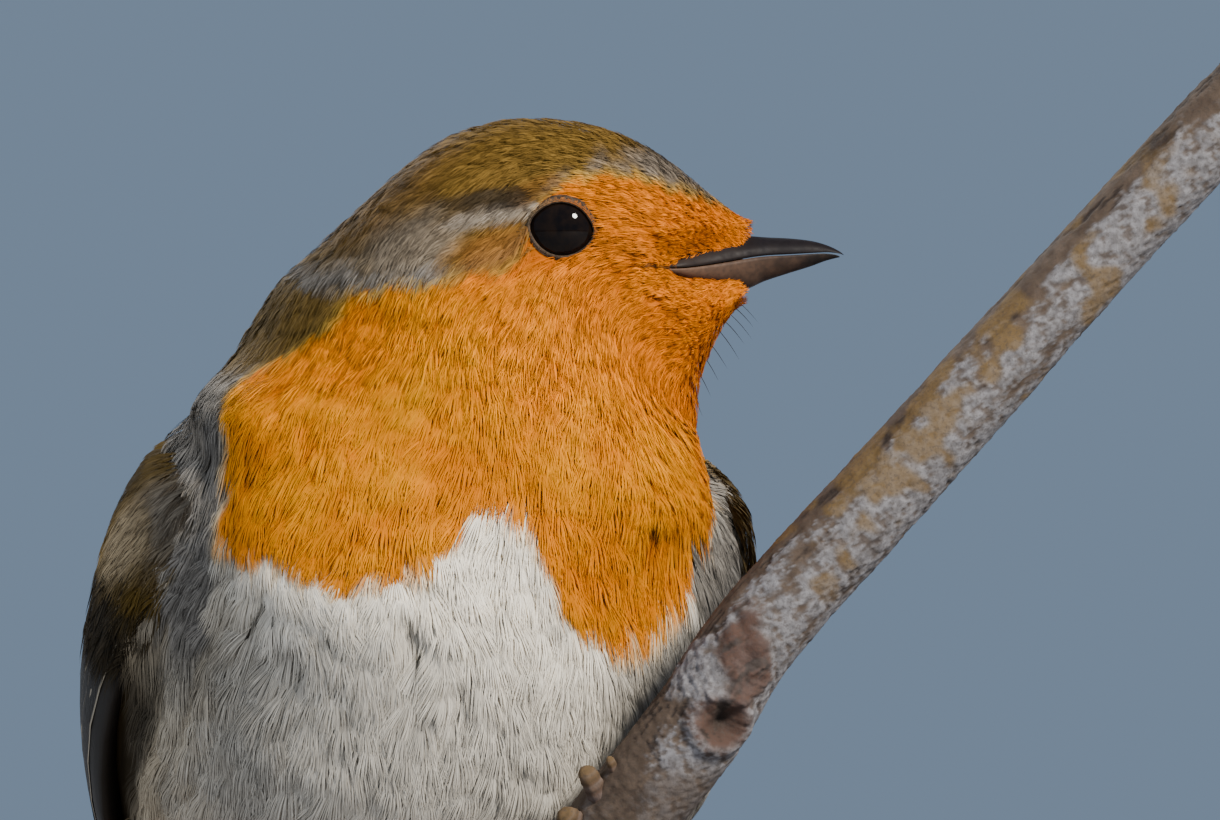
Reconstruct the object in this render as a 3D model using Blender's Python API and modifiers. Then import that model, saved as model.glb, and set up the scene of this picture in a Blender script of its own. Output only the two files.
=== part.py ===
"""European robin, life size and still, gripping a short cut branch over a display stand.

The bird's head is turned to its left, so that its bill points along +X, while its breast
faces -Y. The origin is the centre of the stand's underside. Sizes are given in millimetres
and turned into metres with MM.
"""
import math

import bpy
import bmesh
from mathutils import Matrix, Vector

MM = 0.001
GAP = 0.3 * MM                         # clearance between neighbouring solids

# ---------------------------------------------------------------- driving dimensions
TRUNK_CENTRE = Vector((-8.0, -5.0, 92.0)) * MM
BREAST_YAW = math.radians(20.0)        # the breast turns this far from -Y towards +X
TRUNK_SLOPE = math.radians(62.0)       # the trunk's axis above the horizontal

TAIL_NOTCH = 1.6 * MM                  # the middle feathers are this much shorter

HEAD_PLANE_Y = -9.0                    # mm, the head's own middle plane, from the trunk's centre
EYE_RADIUS = 3.7 * MM
EYE_PLACE = (11.0, 34.1)               # mm, x and z of both eyes from the trunk's centre
EYE_DEPTH = 5.7                        # mm, from the head's middle plane to an eye's centre

TARSUS_RADIUS = 0.80 * MM
TOE_RADIUS = 0.85 * MM
TOE_CLEARANCE = 0.5 * MM                # from the bark to a toe's middle run
TOE_LENGTHS = {2: 9.5, 3: 14.0, 4: 10.0, 1: 8.5}      # mm, without the claw; toe 1 is the hind one
CLAW_LENGTHS = {2: 3.4, 3: 4.2, 4: 3.4, 1: 5.2}       # mm
TOE_SPREAD = {2: -3.0, 3: 0.2, 4: 3.4, 1: 0.6}        # mm, along the branch at the toe's end
TOE_ROOT = {2: 0.35, 3: 0.8, 4: 0.6, 1: 0.5}          # mm, a toe's start behind the ankle

BASE_RADIUS = 52.0 * MM
BASE_HEIGHT = 12.0 * MM
BASE_ROUNDING = 2.5 * MM
BASE_CHAMFER = 0.8 * MM
BASE_ARC_STEPS = 5
BASE_SIDES = 48
ROD_RADIUS = 1.6 * MM
ROD_SEAT = 4.0 * MM                    # how deep a rod stands in the base
ROD_SIDES = 20

BODY_SIDES = 36
BODY_STEPS = 2                         # rings for each span between two body sections

# Head and upper neck: each section is an ellipse. Its long axis runs from a throat point to
# a crown or nape point, (x, z) each, in mm from the trunk's centre; then come its half width,
# the offset of its middle in y, and the share by which its other axis leans from the head's
# own +Y to the trunk's back.
HEAD_SECTIONS = (
    ((25.9, 28.7), (26.3, 34.2), 2.7, -9.0, 0.0),
    ((24.4, 26.9), (23.6, 36.1), 4.6, -9.0, 0.0),
    ((23.4, 25.2), (20.9, 38.5), 6.0, -9.0, 0.0),
    ((22.7, 23.5), (17.6, 40.8), 7.2, -9.0, 0.0),
    ((22.3, 21.7), (12.5, 42.7), 8.2, -9.0, 0.0),
    ((22.1, 19.8), (6.0, 42.9), 8.8, -9.0, 0.0),
    ((22.2, 17.6), (0.4, 41.0), 9.5, -9.0, 0.0),
    ((22.4, 15.4), (-4.8, 36.6), 11.2, -9.0, 0.12),
    ((22.8, 13.0), (-9.6, 31.6), 14.0, -8.6, 0.3),
    ((23.5, 9.8), (-14.2, 26.2), 17.3, -7.6, 0.5),
)
FIRST_TRUNK_LEAN = 0.78                # the same share at the trunk's first section
# Trunk and tail: ellipses square to the trunk's axis. Each row gives the place along the
# axis towards the head, the half width, the half depth and the rise towards the back.
TRUNK_SECTIONS = (
    (13.5, 23.2, 21.2, -0.6),
    (4.0, 25.5, 23.4, -1.0),
    (-6.0, 25.9, 23.4, -1.0),
    (-16.0, 23.6, 19.8, 1.2),
    (-25.0, 19.2, 15.4, 3.4),
    (-32.0, 13.6, 11.2, 5.4),
    (-38.0, 9.4, 7.0, 7.2),
    (-46.0, 7.6, 3.6, 8.0),
    (-58.0, 6.8, 1.5, 8.2),
    (-72.0, 7.4, 1.1, 8.4),
    (-86.0, 8.4, 0.8, 8.6),
)
# Where the body is parted, counted in sections from the bill's base.
NECK_FROM = 6.6
TRUNK_FROM = 8.2
TAIL_FROM = 16.0

# Folded wing, in rows from the wrist to the tip: the place along the trunk's axis, the half
# width and half depth of the ellipse that the wing lies on, that ellipse's rise towards the
# back, the wing's lower and upper edge as angles round it, and the half thickness.
WING_SECTIONS = (
    (14.5, 22.9, 19.4, 0.4, -6.0, 26.0, 0.6),
    (11.0, 24.6, 20.2, 0.5, -11.0, 40.0, 1.7),
    (3.0, 26.3, 20.9, 0.6, -8.0, 54.0, 2.1),
    (-9.0, 26.4, 20.4, 1.6, -2.0, 66.0, 1.9),
    (-21.0, 23.6, 17.8, 3.4, 4.0, 74.0, 1.6),
    (-33.0, 18.4, 13.6, 5.4, 10.0, 76.0, 1.2),
    (-44.0, 13.2, 9.0, 7.0, 18.0, 66.0, 0.9),
    (-53.0, 10.4, 6.6, 7.8, 24.0, 54.0, 0.7),
    (-59.0, 9.0, 5.4, 8.2, 34.0, 46.0, 0.4),
)
WING_SIDES = 16
WING_STEPS = 2

# Bill: rows from its base to its tip, in mm from the trunk's centre: x, the culmen's z, the
# cutting edge's z, the gonys' z and the half width at the cutting edge.
BILL_SECTIONS = (
    (26.45, 33.45, 31.75, 29.25, 2.00),
    (28.0, 33.50, 31.95, 29.85, 1.66),
    (30.0, 33.40, 32.05, 30.50, 1.28),
    (31.8, 33.18, 32.15, 31.05, 0.92),
    (33.1, 32.80, 32.20, 31.52, 0.60),
    (34.0, 32.36, 32.10, 31.76, 0.34),
    (34.4, 32.04, 31.96, 31.84, 0.16),
)
BILL_GAP = 0.12                        # mm, from the cutting edge to each mandible
BILL_SIDES = 12
LOWER_TIP_BACK = 0.35                  # mm, the lower mandible is shorter by this

# Branch: its middle line from the lower cut end up to the right, in mm from the trunk's
# centre, with the radius there.
BRANCH_POINTS = (
    (-11.4, -2.6, -50.0, 4.15),
    (-4.3, -7.6, -41.0, 4.15),
    (4.1, -13.2, -30.0, 4.10),
    (10.6, -17.6, -21.7, 4.10),
    (17.1, -20.8, -13.3, 4.15),
    (22.2, -22.2, -6.7, 4.05),
    (27.2, -22.8, 1.0, 3.85),
    (38.4, -23.2, 13.5, 3.75),
    (51.4, -23.5, 27.9, 3.55),
    (64.8, -23.8, 42.5, 3.40),
    (69.2, -23.9, 47.1, 3.38),
)
BRANCH_SIDES = 16
KNOT_AT = 5.55                         # in points along the branch
KNOT_SPAN = 0.35
KNOT_SWELL = 0.20                      # mm
# Spur stubs on the branch: root and end in mm from the trunk's centre, and the radii there.
SPURS = (
    ((16.2, -22.0, -14.6), (12.9, -23.0, -10.5), 1.45, 1.05),
    ((15.4, -20.4, -15.8), (11.6, -21.0, -13.4), 1.50, 1.20),
)
# Feet: the place in points along the branch, how far the leg slants towards +X, and the
# length of tarsus from the sole to its end inside the belly, in mm.
FEET = {"left": (1.85, -0.15, 17.0), "right": (0.85, 0.135, 19.0)}
FOOT_UP = Vector((-0.52, 0.55, 0.62))  # from the branch towards a foot's sole
LEG_OFF_BRANCH = 0.62                  # share of that direction in the tarsus's own
LEG_BACK = 0.25                        # its share of +Y
LEG_RISE = 0.75                        # its share of +Z
TARSUS_TAPER = ((0.0, 1.25), (0.12, 1.05), (0.3, 0.95), (0.65, 1.0), (1.0, 1.15))
TOE_TAPER = ((0.0, 1.0), (0.2, 1.0), (0.4, 0.95), (0.6, 0.92), (0.8, 0.88), (0.95, 0.8), (1.0, 0.5))
CLAW_TAPER = ((0.0, 0.62), (0.3, 0.58), (0.6, 0.45), (0.85, 0.26), (1.0, 0.12))    # radii in mm
CLAW_ARCH = 0.25                       # mm, a claw's middle stands off the bark by this
LEG_SIDES = 10
TOE_SIDES = 8
CLAW_SIDES = 6
RODS = {"stand_rod_low": 0.45, "stand_rod_high": 3.65}
ROD_SINK = 2.6 * MM                    # how far a rod's top stands below the branch's middle

# ---------------------------------------------------------------- a clean scene
for old in list(bpy.data.objects):
    bpy.data.objects.remove(old, do_unlink=True)

MODEL = bpy.data.collections.new("european_robin")
CUTTERS = bpy.data.collections.new("cutters")
for collection in (MODEL, CUTTERS):
    bpy.context.scene.collection.children.link(collection)

FORWARD = Vector((math.sin(BREAST_YAW), -math.cos(BREAST_YAW), 0.0))
LEFT = Vector((math.cos(BREAST_YAW), math.sin(BREAST_YAW), 0.0))
HEADWARD = FORWARD * math.cos(TRUNK_SLOPE) + Vector((0, 0, math.sin(TRUNK_SLOPE)))
BACKWARD = -FORWARD * math.sin(TRUNK_SLOPE) + Vector((0, 0, math.cos(TRUNK_SLOPE)))


def material(name, colour, roughness, metallic=0.0):
    """A Principled material with one colour."""
    made = bpy.data.materials.new(name)
    made.use_nodes = True
    shader = made.node_tree.nodes["Principled BSDF"]
    shader.inputs["Base Color"].default_value = (*colour, 1.0)
    shader.inputs["Roughness"].default_value = roughness
    shader.inputs["Metallic"].default_value = metallic
    made.diffuse_color = (*colour, 1.0)
    return made


FACE_ORANGE = material("face_plumage", (0.62, 0.20, 0.03), 0.85)
BREAST_ORANGE = material("breast_plumage", (0.60, 0.22, 0.04), 0.85)
BELLY_WHITE = material("belly_plumage", (0.55, 0.52, 0.48), 0.85)
OLIVE_BROWN = material("wing_plumage", (0.14, 0.10, 0.06), 0.80)
BILL_HORN = material("bill_horn", (0.035, 0.028, 0.025), 0.32)
EYE_BLACK = material("eye_black", (0.008, 0.007, 0.007), 0.05)
LEG_SKIN = material("leg_skin", (0.20, 0.11, 0.07), 0.50)
CLAW_HORN = material("claw_horn", (0.06, 0.04, 0.03), 0.40)
BARK = material("bark", (0.24, 0.19, 0.16), 0.90)
WALNUT = material("walnut", (0.10, 0.05, 0.025), 0.45)
STEEL = material("rod_steel", (0.55, 0.55, 0.56), 0.30, 1.0)


def link(name, mesh, finish=None, cutter=False):
    """Put a mesh in the scene as a piece of the model, or as a hidden cutter."""
    made = bpy.data.objects.new(name, mesh)
    (CUTTERS if cutter else MODEL).objects.link(made)
    if cutter:
        made.hide_render = True
        made.display_type = "WIRE"
    else:
        mesh.materials.append(finish)
        mesh.shade_smooth()
    return made


def cut(piece, cutter):
    """Take a cutter's shape out of a piece."""
    step = piece.modifiers.new("cut_" + cutter.name, "BOOLEAN")
    step.operation = "DIFFERENCE"
    step.solver = "EXACT"
    step.object = cutter


def unite(piece, other):
    """Join a hidden shape to a piece."""
    step = piece.modifiers.new("join_" + other.name, "BOOLEAN")
    step.operation = "UNION"
    step.solver = "EXACT"
    step.object = other


def flatten(row):
    """One flat tuple of a row's numbers, whatever tuples and vectors it holds."""
    numbers = []
    for item in row:
        if isinstance(item, (int, float)):
            numbers.append(float(item))
        else:
            numbers.extend(flatten(item))
    return tuple(numbers)


def between(rows, place):
    """The row at a place along a list of rows, on a smooth curve through them."""
    last = len(rows) - 1
    place = min(max(place, 0.0), float(last))
    start = min(int(place), last - 1)
    t = place - start
    before, a, b, after = (rows[min(max(start + k, 0), last)] for k in (-1, 0, 1, 2))
    row = []
    for p, q, r, s in zip(before, a, b, after):
        row.append(0.5 * (2 * q + (r - p) * t + (2 * p - 5 * q + 4 * r - s) * t * t
                          + (3 * q - p - 3 * r + s) * t ** 3))
    return tuple(row)


def places(start, end, steps):
    """Evenly spaced places from start to end, with about so many steps in each unit."""
    count = max(1, math.ceil((end - start) * steps))
    return [start + (end - start) * i / count for i in range(count + 1)]


def loft(name, rings):
    """A closed mesh through rings of points; each end is capped with strips across it."""
    mesh = bpy.data.meshes.new(name)
    bm = bmesh.new()
    grid = [[bm.verts.new(point) for point in ring] for ring in rings]
    sides = len(rings[0])
    for low, high in zip(grid, grid[1:]):
        for i in range(sides):
            j = (i + 1) % sides
            bm.faces.new((low[i], low[j], high[j], high[i]))
    for ring in (grid[0], grid[-1]):
        for i in range(sides // 2):
            corners = (ring[i], ring[i + 1], ring[-i - 1], ring[-i])
            bm.faces.new(list(dict.fromkeys(corners)))
    bmesh.ops.recalc_face_normals(bm, faces=bm.faces)
    bm.to_mesh(mesh)
    bm.free()
    return mesh


def on_bird(side, along, back):
    """A point from its distances, in mm, to the left, to the head and to the back."""
    return TRUNK_CENTRE + (LEFT * side + HEADWARD * along + BACKWARD * back) * MM


def from_trunk(x, y, z):
    """A point from its offset, in mm, to the trunk's centre."""
    return TRUNK_CENTRE + Vector((x, y, z)) * MM


# ---------------------------------------------------------------- head, neck, trunk, tail
def leaning(share):
    """The direction that lies a share of the way from +Y to the trunk's back."""
    return Vector((0.0, 1.0, 0.0)).lerp(BACKWARD, share).normalized()


def body_rows():
    """Each section of the body as its middle and its two half axes."""
    rows = []
    for throat, crown, half_width, offset, lean in HEAD_SECTIONS:
        low = from_trunk(throat[0], offset, throat[1])
        high = from_trunk(crown[0], offset, crown[1])
        across = leaning(lean) * half_width * MM
        rows.append(flatten(((low + high) / 2, (low - high) / 2, across)))
    for number, (along, half_width, half_depth, rise) in enumerate(TRUNK_SECTIONS):
        middle = on_bird(0.0, along, rise)
        deep = leaning(1.0 if number else FIRST_TRUNK_LEAN) * half_depth * MM
        rows.append(flatten((middle, LEFT * half_width * MM, deep)))
    return rows


BODY_ROWS = body_rows()


def body_ring(place):
    """The ring of points round the body at a place counted in sections."""
    row = between(BODY_ROWS, place)
    middle, across, deep = Vector(row[0:3]), Vector(row[3:6]), Vector(row[6:9])
    turns = [2 * math.pi * i / BODY_SIDES for i in range(BODY_SIDES)]
    return [middle + across * math.cos(a) + deep * math.sin(a) for a in turns]


def square_to(ring):
    """The direction square to a flat ring, pointing to the head."""
    quarter = len(ring) // 4
    across = ring[0] - ring[2 * quarter]
    deep = ring[quarter] - ring[3 * quarter]
    return across.cross(deep).normalized()


def body_piece(name, start, end, finish):
    """A length of the body, drawn back by half a gap at each parting cut."""
    rings = [body_ring(place) for place in places(start, end, BODY_STEPS)]
    if start > 0.0:
        rings[0] = [point - square_to(rings[0]) * GAP / 2 for point in rings[0]]
    rings[-1] = [point + square_to(rings[-1]) * GAP / 2 for point in rings[-1]]
    return link(name, loft(name, rings), finish)


LAST_SECTION = len(BODY_ROWS) - 1
head = body_piece("head", 0.0, NECK_FROM, FACE_ORANGE)
neck = body_piece("neck", NECK_FROM, TRUNK_FROM, BREAST_ORANGE)
trunk = body_piece("trunk", TRUNK_FROM, TAIL_FROM, BELLY_WHITE)


def notched(ring):
    """The tail's last ring, drawn in at its middle where the tail is notched."""
    middle = sum(ring, Vector()) / len(ring)
    half = max(abs((point - middle).dot(LEFT)) for point in ring)
    moved = []
    for point in ring:
        aside = abs((point - middle).dot(LEFT)) / half
        moved.append(point + HEADWARD * TAIL_NOTCH * (1.0 - aside))
    return moved


def tail_piece():
    """Tail feathers and the coverts round their roots, as one flat closed fan."""
    rings = [body_ring(place) for place in places(TAIL_FROM, LAST_SECTION, BODY_STEPS)]
    rings[0] = [point - HEADWARD * GAP / 2 for point in rings[0]]
    rings[-1] = notched(rings[-1])
    return link("tail", loft("tail", rings), OLIVE_BROWN)


tail = tail_piece()


# ---------------------------------------------------------------- eyes
def eye(name, side, grow=0.0, cutter=False):
    """An eyeball or the cutter for its socket; side is -1 for the right eye, 1 for the left."""
    mesh = bpy.data.meshes.new(name)
    bm = bmesh.new()
    bmesh.ops.create_uvsphere(bm, u_segments=14, v_segments=9, radius=EYE_RADIUS + grow)
    place = from_trunk(EYE_PLACE[0], HEAD_PLANE_Y + side * EYE_DEPTH, EYE_PLACE[1])
    bmesh.ops.transform(bm, matrix=Matrix.Rotation(math.pi / 2, 4, "X"), verts=bm.verts)
    bm.to_mesh(mesh)
    bm.free()
    made = link(name, mesh, EYE_BLACK, cutter)
    made.location = place
    return made


for eye_name, eye_side in (("eye_left", 1), ("eye_right", -1)):
    eye(eye_name, eye_side)
    cut(head, eye("socket_" + eye_name, eye_side, GAP, cutter=True))


# ---------------------------------------------------------------- bill
def bill_ring(row, upper):
    """One arched section of a mandible, flat along the cutting edge."""
    x, culmen, edge, gonys, half_width = row
    flat = edge + BILL_GAP if upper else edge - BILL_GAP
    rise = (culmen if upper else gonys) - flat
    points = []
    for i in range(BILL_SIDES):
        turn = 2 * math.pi * (i + 0.5) / BILL_SIDES
        side, lift = math.cos(turn), math.sin(turn)
        z = flat + rise * max(lift, 0.0) ** 0.8
        points.append(from_trunk(x, HEAD_PLANE_Y + half_width * side, z))
    return points


def mandible(name, upper):
    """The upper or the lower half of the bill."""
    last = len(BILL_SECTIONS) - 1
    rings = []
    for place in places(0.0, last, 1.5):
        row = list(between(BILL_SECTIONS, place))
        if not upper:
            row[0] -= LOWER_TIP_BACK * place / last
        rings.append(bill_ring(row, upper))
    return link(name, loft(name, rings), BILL_HORN)


mandible("bill_upper", True)
mandible("bill_lower", False)


# ---------------------------------------------------------------- wings
def wing_ring(place, side, grow):
    """One section of a folded wing, a lens that lies round the body's side."""
    along, wide, deep, rise, lower, upper, thick = between(WING_SECTIONS, place)
    middle, half = math.radians((lower + upper) / 2), math.radians((upper - lower) / 2)
    points = []
    for i in range(WING_SIDES):
        turn = 2 * math.pi * i / WING_SIDES
        reach = half * math.cos(turn) + grow / (wide * MM) * math.cos(turn)
        proud = (thick + grow / MM) * math.sin(turn)
        at = middle + reach
        points.append(on_bird(side * (wide + proud) * math.cos(at), along,
                              rise + (deep + proud) * math.sin(at)))
    return points


def wing(name, side, grow=0.0, cutter=False):
    """A folded wing from its wrist to the tips of the longest flight feathers."""
    last = len(WING_SECTIONS) - 1
    rings = [wing_ring(place, side, grow) for place in places(0.0, last, WING_STEPS)]
    if cutter:
        rings.insert(0, [point + HEADWARD * grow for point in rings[0]])
        rings.append([point - HEADWARD * grow for point in rings[-1]])
    return link(name, loft(name, rings), OLIVE_BROWN, cutter)


for wing_name, wing_side in (("wing_left", 1), ("wing_right", -1)):
    wing(wing_name, wing_side)
    bed = wing("bed_" + wing_name, wing_side, GAP, cutter=True)
    for carrier in (trunk, neck, tail):
        cut(carrier, bed)


# ---------------------------------------------------------------- tubes
def tube_rings(points, radii, sides):
    """Rings square to a path; points are Vectors and radii are metres."""
    rings = []
    side = None
    for i, (point, radius) in enumerate(zip(points, radii)):
        ahead = (points[min(i + 1, len(points) - 1)] - points[max(i - 1, 0)]).normalized()
        if side is None:
            side = ahead.orthogonal().normalized()
        side = (side - ahead * side.dot(ahead)).normalized()
        other = ahead.cross(side)
        rings.append([point + (side * math.cos(a) + other * math.sin(a)) * radius
                      for a in (2 * math.pi * k / sides for k in range(sides))])
    return rings


# ---------------------------------------------------------------- perch
def branch_at(place):
    """The branch's middle point, its direction and its radius at a place along it."""
    row = between(BRANCH_POINTS, place)
    step = 0.05
    ahead = Vector(between(BRANCH_POINTS, place + step)[:3])
    behind = Vector(between(BRANCH_POINTS, place - step)[:3])
    return from_trunk(*row[:3]), (ahead - behind).normalized(), row[3] * MM


def perch():
    """The cut length of branch, with a swollen knot and two spur stubs."""
    points, radii = [], []
    for place in places(0.0, len(BRANCH_POINTS) - 1, 2):
        middle, _, radius = branch_at(place)
        swell = KNOT_SWELL * math.exp(-((place - KNOT_AT) / KNOT_SPAN) ** 2)
        points.append(middle)
        radii.append(radius + swell * MM)
    branch = link("perch", loft("perch", tube_rings(points, radii, BRANCH_SIDES)), BARK)
    for number, (root, end, thick, thin) in enumerate(SPURS):
        root, end = from_trunk(*root), from_trunk(*end)
        path = [root.lerp(end, t) for t in (0.0, 0.5, 0.9, 1.0)]
        sizes = [thick * MM, (thick + thin) / 2 * MM, thin * MM, 0.6 * thin * MM]
        spur = link(f"spur_{number}", loft(f"spur_{number}", tube_rings(path, sizes, 10)),
                    cutter=True)
        unite(branch, spur)
    return branch


branch_piece = perch()


# ---------------------------------------------------------------- legs and claws
def foot_frame(place):
    """A foot's grip on the branch: middle, direction, up, forward and branch radius."""
    middle, ahead, radius = branch_at(place)
    up = (FOOT_UP - ahead * FOOT_UP.dot(ahead)).normalized()
    forward = ahead.cross(up)
    if forward.dot(FORWARD) < 0:
        forward = -forward
    return middle, ahead, up, forward, radius


def toe_point(place, toe, run, lift):
    """A point of a toe, a run in mm from the sole's middle and a lift off the bark."""
    middle, ahead, up, forward, radius = foot_frame(place)
    reach = radius + lift
    turn = run * MM / reach * (-1.0 if toe == 1 else 1.0)
    aside = TOE_SPREAD[toe] * min(run / TOE_LENGTHS[toe], 1.3)
    return (middle + ahead * aside * MM
            + (up * math.cos(turn) + forward * math.sin(turn)) * reach)


def leg(side_name):
    """Tarsus and four toes as one piece, with a claw of its own on each toe."""
    place, slant, shown = FEET[side_name]
    middle, _, up, _, radius = foot_frame(place)
    lift = TOE_CLEARANCE + TOE_RADIUS
    ankle = middle + up * (radius + lift)
    way = up * LEG_OFF_BRANCH + Vector((slant, LEG_BACK, LEG_RISE))
    top = ankle + way.normalized() * shown * MM
    path = [ankle.lerp(top, t) for t, _ in TARSUS_TAPER]
    sizes = [TARSUS_RADIUS * size for _, size in TARSUS_TAPER]
    name = "leg_" + side_name
    whole = link(name, loft(name, tube_rings(path, sizes, LEG_SIDES)), LEG_SKIN)
    for toe, length in TOE_LENGTHS.items():
        runs = [length * t if t else -TOE_ROOT[toe] for t, _ in TOE_TAPER]
        path = [toe_point(place, toe, run, lift) for run in runs]
        sizes = [TOE_RADIUS * size for _, size in TOE_TAPER]
        name = f"toe_{side_name}_{toe}"
        unite(whole, link(name, loft(name, tube_rings(path, sizes, TOE_SIDES)), cutter=True))
        claw(side_name, place, toe, lift)
    socket_path = [ankle, top + (top - ankle).normalized() * 2 * GAP]
    socket = tube_rings(socket_path, [TARSUS_RADIUS * TARSUS_TAPER[-1][1] + GAP] * 2, LEG_SIDES)
    cut(trunk, link("socket_leg_" + side_name, loft("socket_leg", socket), cutter=True))


def claw(side_name, place, toe, lift):
    """A curved claw that carries on from its toe round the branch."""
    start = TOE_LENGTHS[toe] + GAP / MM
    path = []
    for t, _ in CLAW_TAPER:
        height = lift + CLAW_ARCH * MM * math.sin(math.pi * t)
        path.append(toe_point(place, toe, start + CLAW_LENGTHS[toe] * t, height))
    sizes = [size * MM for _, size in CLAW_TAPER]
    name = f"claw_{side_name}_{toe}"
    link(name, loft(name, tube_rings(path, sizes, CLAW_SIDES)), CLAW_HORN)


for side_name in FEET:
    leg(side_name)


# ---------------------------------------------------------------- stand
def base():
    """The round flat base, turned from one profile."""
    profile = [(0.0, BASE_HEIGHT)]
    for i in range(BASE_ARC_STEPS + 1):
        turn = math.pi / 2 * (1 - i / BASE_ARC_STEPS)
        profile.append((BASE_RADIUS - BASE_ROUNDING * (1 - math.cos(turn)),
                        BASE_HEIGHT - BASE_ROUNDING * (1 - math.sin(turn))))
    profile += [(BASE_RADIUS, BASE_CHAMFER), (BASE_RADIUS - BASE_CHAMFER, 0.0), (0.0, 0.0)]
    mesh = bpy.data.meshes.new("stand_base")
    bm = bmesh.new()
    corners = [bm.verts.new((x, 0.0, z)) for x, z in profile]
    for one, two in zip(corners, corners[1:]):
        bm.edges.new((one, two))
    bm.to_mesh(mesh)
    bm.free()
    made = link("stand_base", mesh, WALNUT)
    turned = made.modifiers.new("turned", "SCREW")
    turned.steps = BASE_SIDES
    turned.render_steps = BASE_SIDES
    turned.use_merge_vertices = True
    turned.merge_threshold = 0.00001
    return made


def rod(name, foot, top, grow=0.0, cutter=False):
    """An upright rod between two heights over one point."""
    mesh = bpy.data.meshes.new(name)
    bm = bmesh.new()
    length = top.z - foot.z + 2 * grow
    bmesh.ops.create_cone(bm, cap_ends=True, segments=ROD_SIDES, radius1=ROD_RADIUS + grow,
                          radius2=ROD_RADIUS + grow, depth=length)
    bm.to_mesh(mesh)
    bm.free()
    made = link(name, mesh, STEEL, cutter)
    made.location = (foot + top) / 2
    return made


stand_base = base()
for rod_name, rod_place in RODS.items():
    under, _, _ = branch_at(rod_place)
    rod_top = under - Vector((0.0, 0.0, ROD_SINK))
    rod_foot = Vector((under.x, under.y, BASE_HEIGHT - ROD_SEAT))
    rod(rod_name, rod_foot, rod_top)
    seat = rod("seat_" + rod_name, rod_foot, rod_top, GAP, cutter=True)
    cut(stand_base, seat)
    cut(branch_piece, seat)
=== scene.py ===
"""Looks of a life-size European robin that grips a cut branch over a museum stand.

The bird's breast faces -Y, turned a little to +X, and its bill points along +X.
"""

import math

import bpy
import bmesh
import numpy as np
from mathutils import Matrix, Vector
from mathutils.bvhtree import BVHTree


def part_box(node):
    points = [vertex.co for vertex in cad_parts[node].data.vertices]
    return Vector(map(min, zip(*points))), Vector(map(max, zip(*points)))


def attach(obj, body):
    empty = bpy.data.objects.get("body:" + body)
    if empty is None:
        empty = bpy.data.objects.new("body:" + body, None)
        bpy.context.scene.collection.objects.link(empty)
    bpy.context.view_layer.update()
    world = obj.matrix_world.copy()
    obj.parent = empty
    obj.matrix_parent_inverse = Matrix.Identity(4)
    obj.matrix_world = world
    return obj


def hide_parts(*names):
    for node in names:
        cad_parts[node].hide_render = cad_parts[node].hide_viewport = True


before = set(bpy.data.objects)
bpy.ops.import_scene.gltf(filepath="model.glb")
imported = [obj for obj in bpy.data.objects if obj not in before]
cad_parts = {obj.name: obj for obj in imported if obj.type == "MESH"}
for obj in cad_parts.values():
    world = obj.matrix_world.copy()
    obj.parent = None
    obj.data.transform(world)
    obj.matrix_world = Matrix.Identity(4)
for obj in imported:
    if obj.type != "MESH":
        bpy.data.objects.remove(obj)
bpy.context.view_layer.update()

# ============================================================ camera
# A long lens two metres away, level with the bird's shoulder, frames the head, the breast and
# the rising end of the branch, and leaves the feet and the stand below the picture.
MM = 0.001
TRUNK_CENTRE = Vector((-8.0, -5.0, 92.0)) * MM
PICTURE_CENTRE = TRUNK_CENTRE + Vector((15.0, 0.0, 19.17)) * MM
PICTURE_WIDTH = 101.67 * MM
CAMERA_DISTANCE = 2.0


def placed(name, data):
    """An object of the scene made from its data."""
    made = bpy.data.objects.new(name, data)
    bpy.context.scene.collection.objects.link(made)
    return made


lens_data = bpy.data.cameras.new("camera")
lens_data.sensor_width = 36.0
lens_data.lens = lens_data.sensor_width * CAMERA_DISTANCE / PICTURE_WIDTH
lens_data.clip_end = 30.0
camera = placed("camera", lens_data)
camera.location = PICTURE_CENTRE - Vector((0.0, CAMERA_DISTANCE, 0.0))
camera.rotation_euler = (math.pi / 2, 0.0, 0.0)
bpy.context.scene.camera = camera

# ============================================================ studio
# A plain floor in a blue-grey room: a warm key lamp high on the right, a weak cool fill on
# the left and a lamp behind that edges the back and the branch.
FLOOR_RADIUS = 3.0
FLOOR_COLOUR = (0.17, 0.18, 0.20)
AIR_COLOUR = (0.34, 0.47, 0.66)
AIR_STRENGTH = 0.50
LAMPS = {                              # place, size, watts, colour, and if it shows in gloss
    "key_lamp": ((0.90, -1.05, 1.05), 0.34, 56.0, (1.0, 0.95, 0.87), True),
    "fill_lamp": ((-0.95, -0.90, 0.45), 0.60, 5.0, (0.90, 0.94, 1.0), False),
    "edge_lamp": ((-0.45, 0.80, 0.75), 0.40, 12.0, (1.0, 0.98, 0.95), True),
}


def plain_material(name, colour, roughness, metallic=0.0):
    """A material with its Principled shader set, and the shader itself."""
    made = bpy.data.materials.new(name)
    made.use_nodes = True
    shader = made.node_tree.nodes["Principled BSDF"]
    shader.inputs["Base Color"].default_value = (*colour, 1.0)
    shader.inputs["Roughness"].default_value = roughness
    shader.inputs["Metallic"].default_value = metallic
    made.diffuse_color = (*colour, 1.0)
    return made, shader


def floor_disc():
    """The floor, a flat disc of many sides at the stand's underside."""
    mesh = bpy.data.meshes.new("floor")
    bm = bmesh.new()
    bmesh.ops.create_circle(bm, cap_ends=True, segments=128, radius=FLOOR_RADIUS)
    bm.to_mesh(mesh)
    bm.free()
    mesh.materials.append(plain_material("floor_matt", FLOOR_COLOUR, 0.85)[0])
    floor = placed("floor", mesh)
    floor.location = (0.0, 0.0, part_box("stand_base")[0].z)


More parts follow.
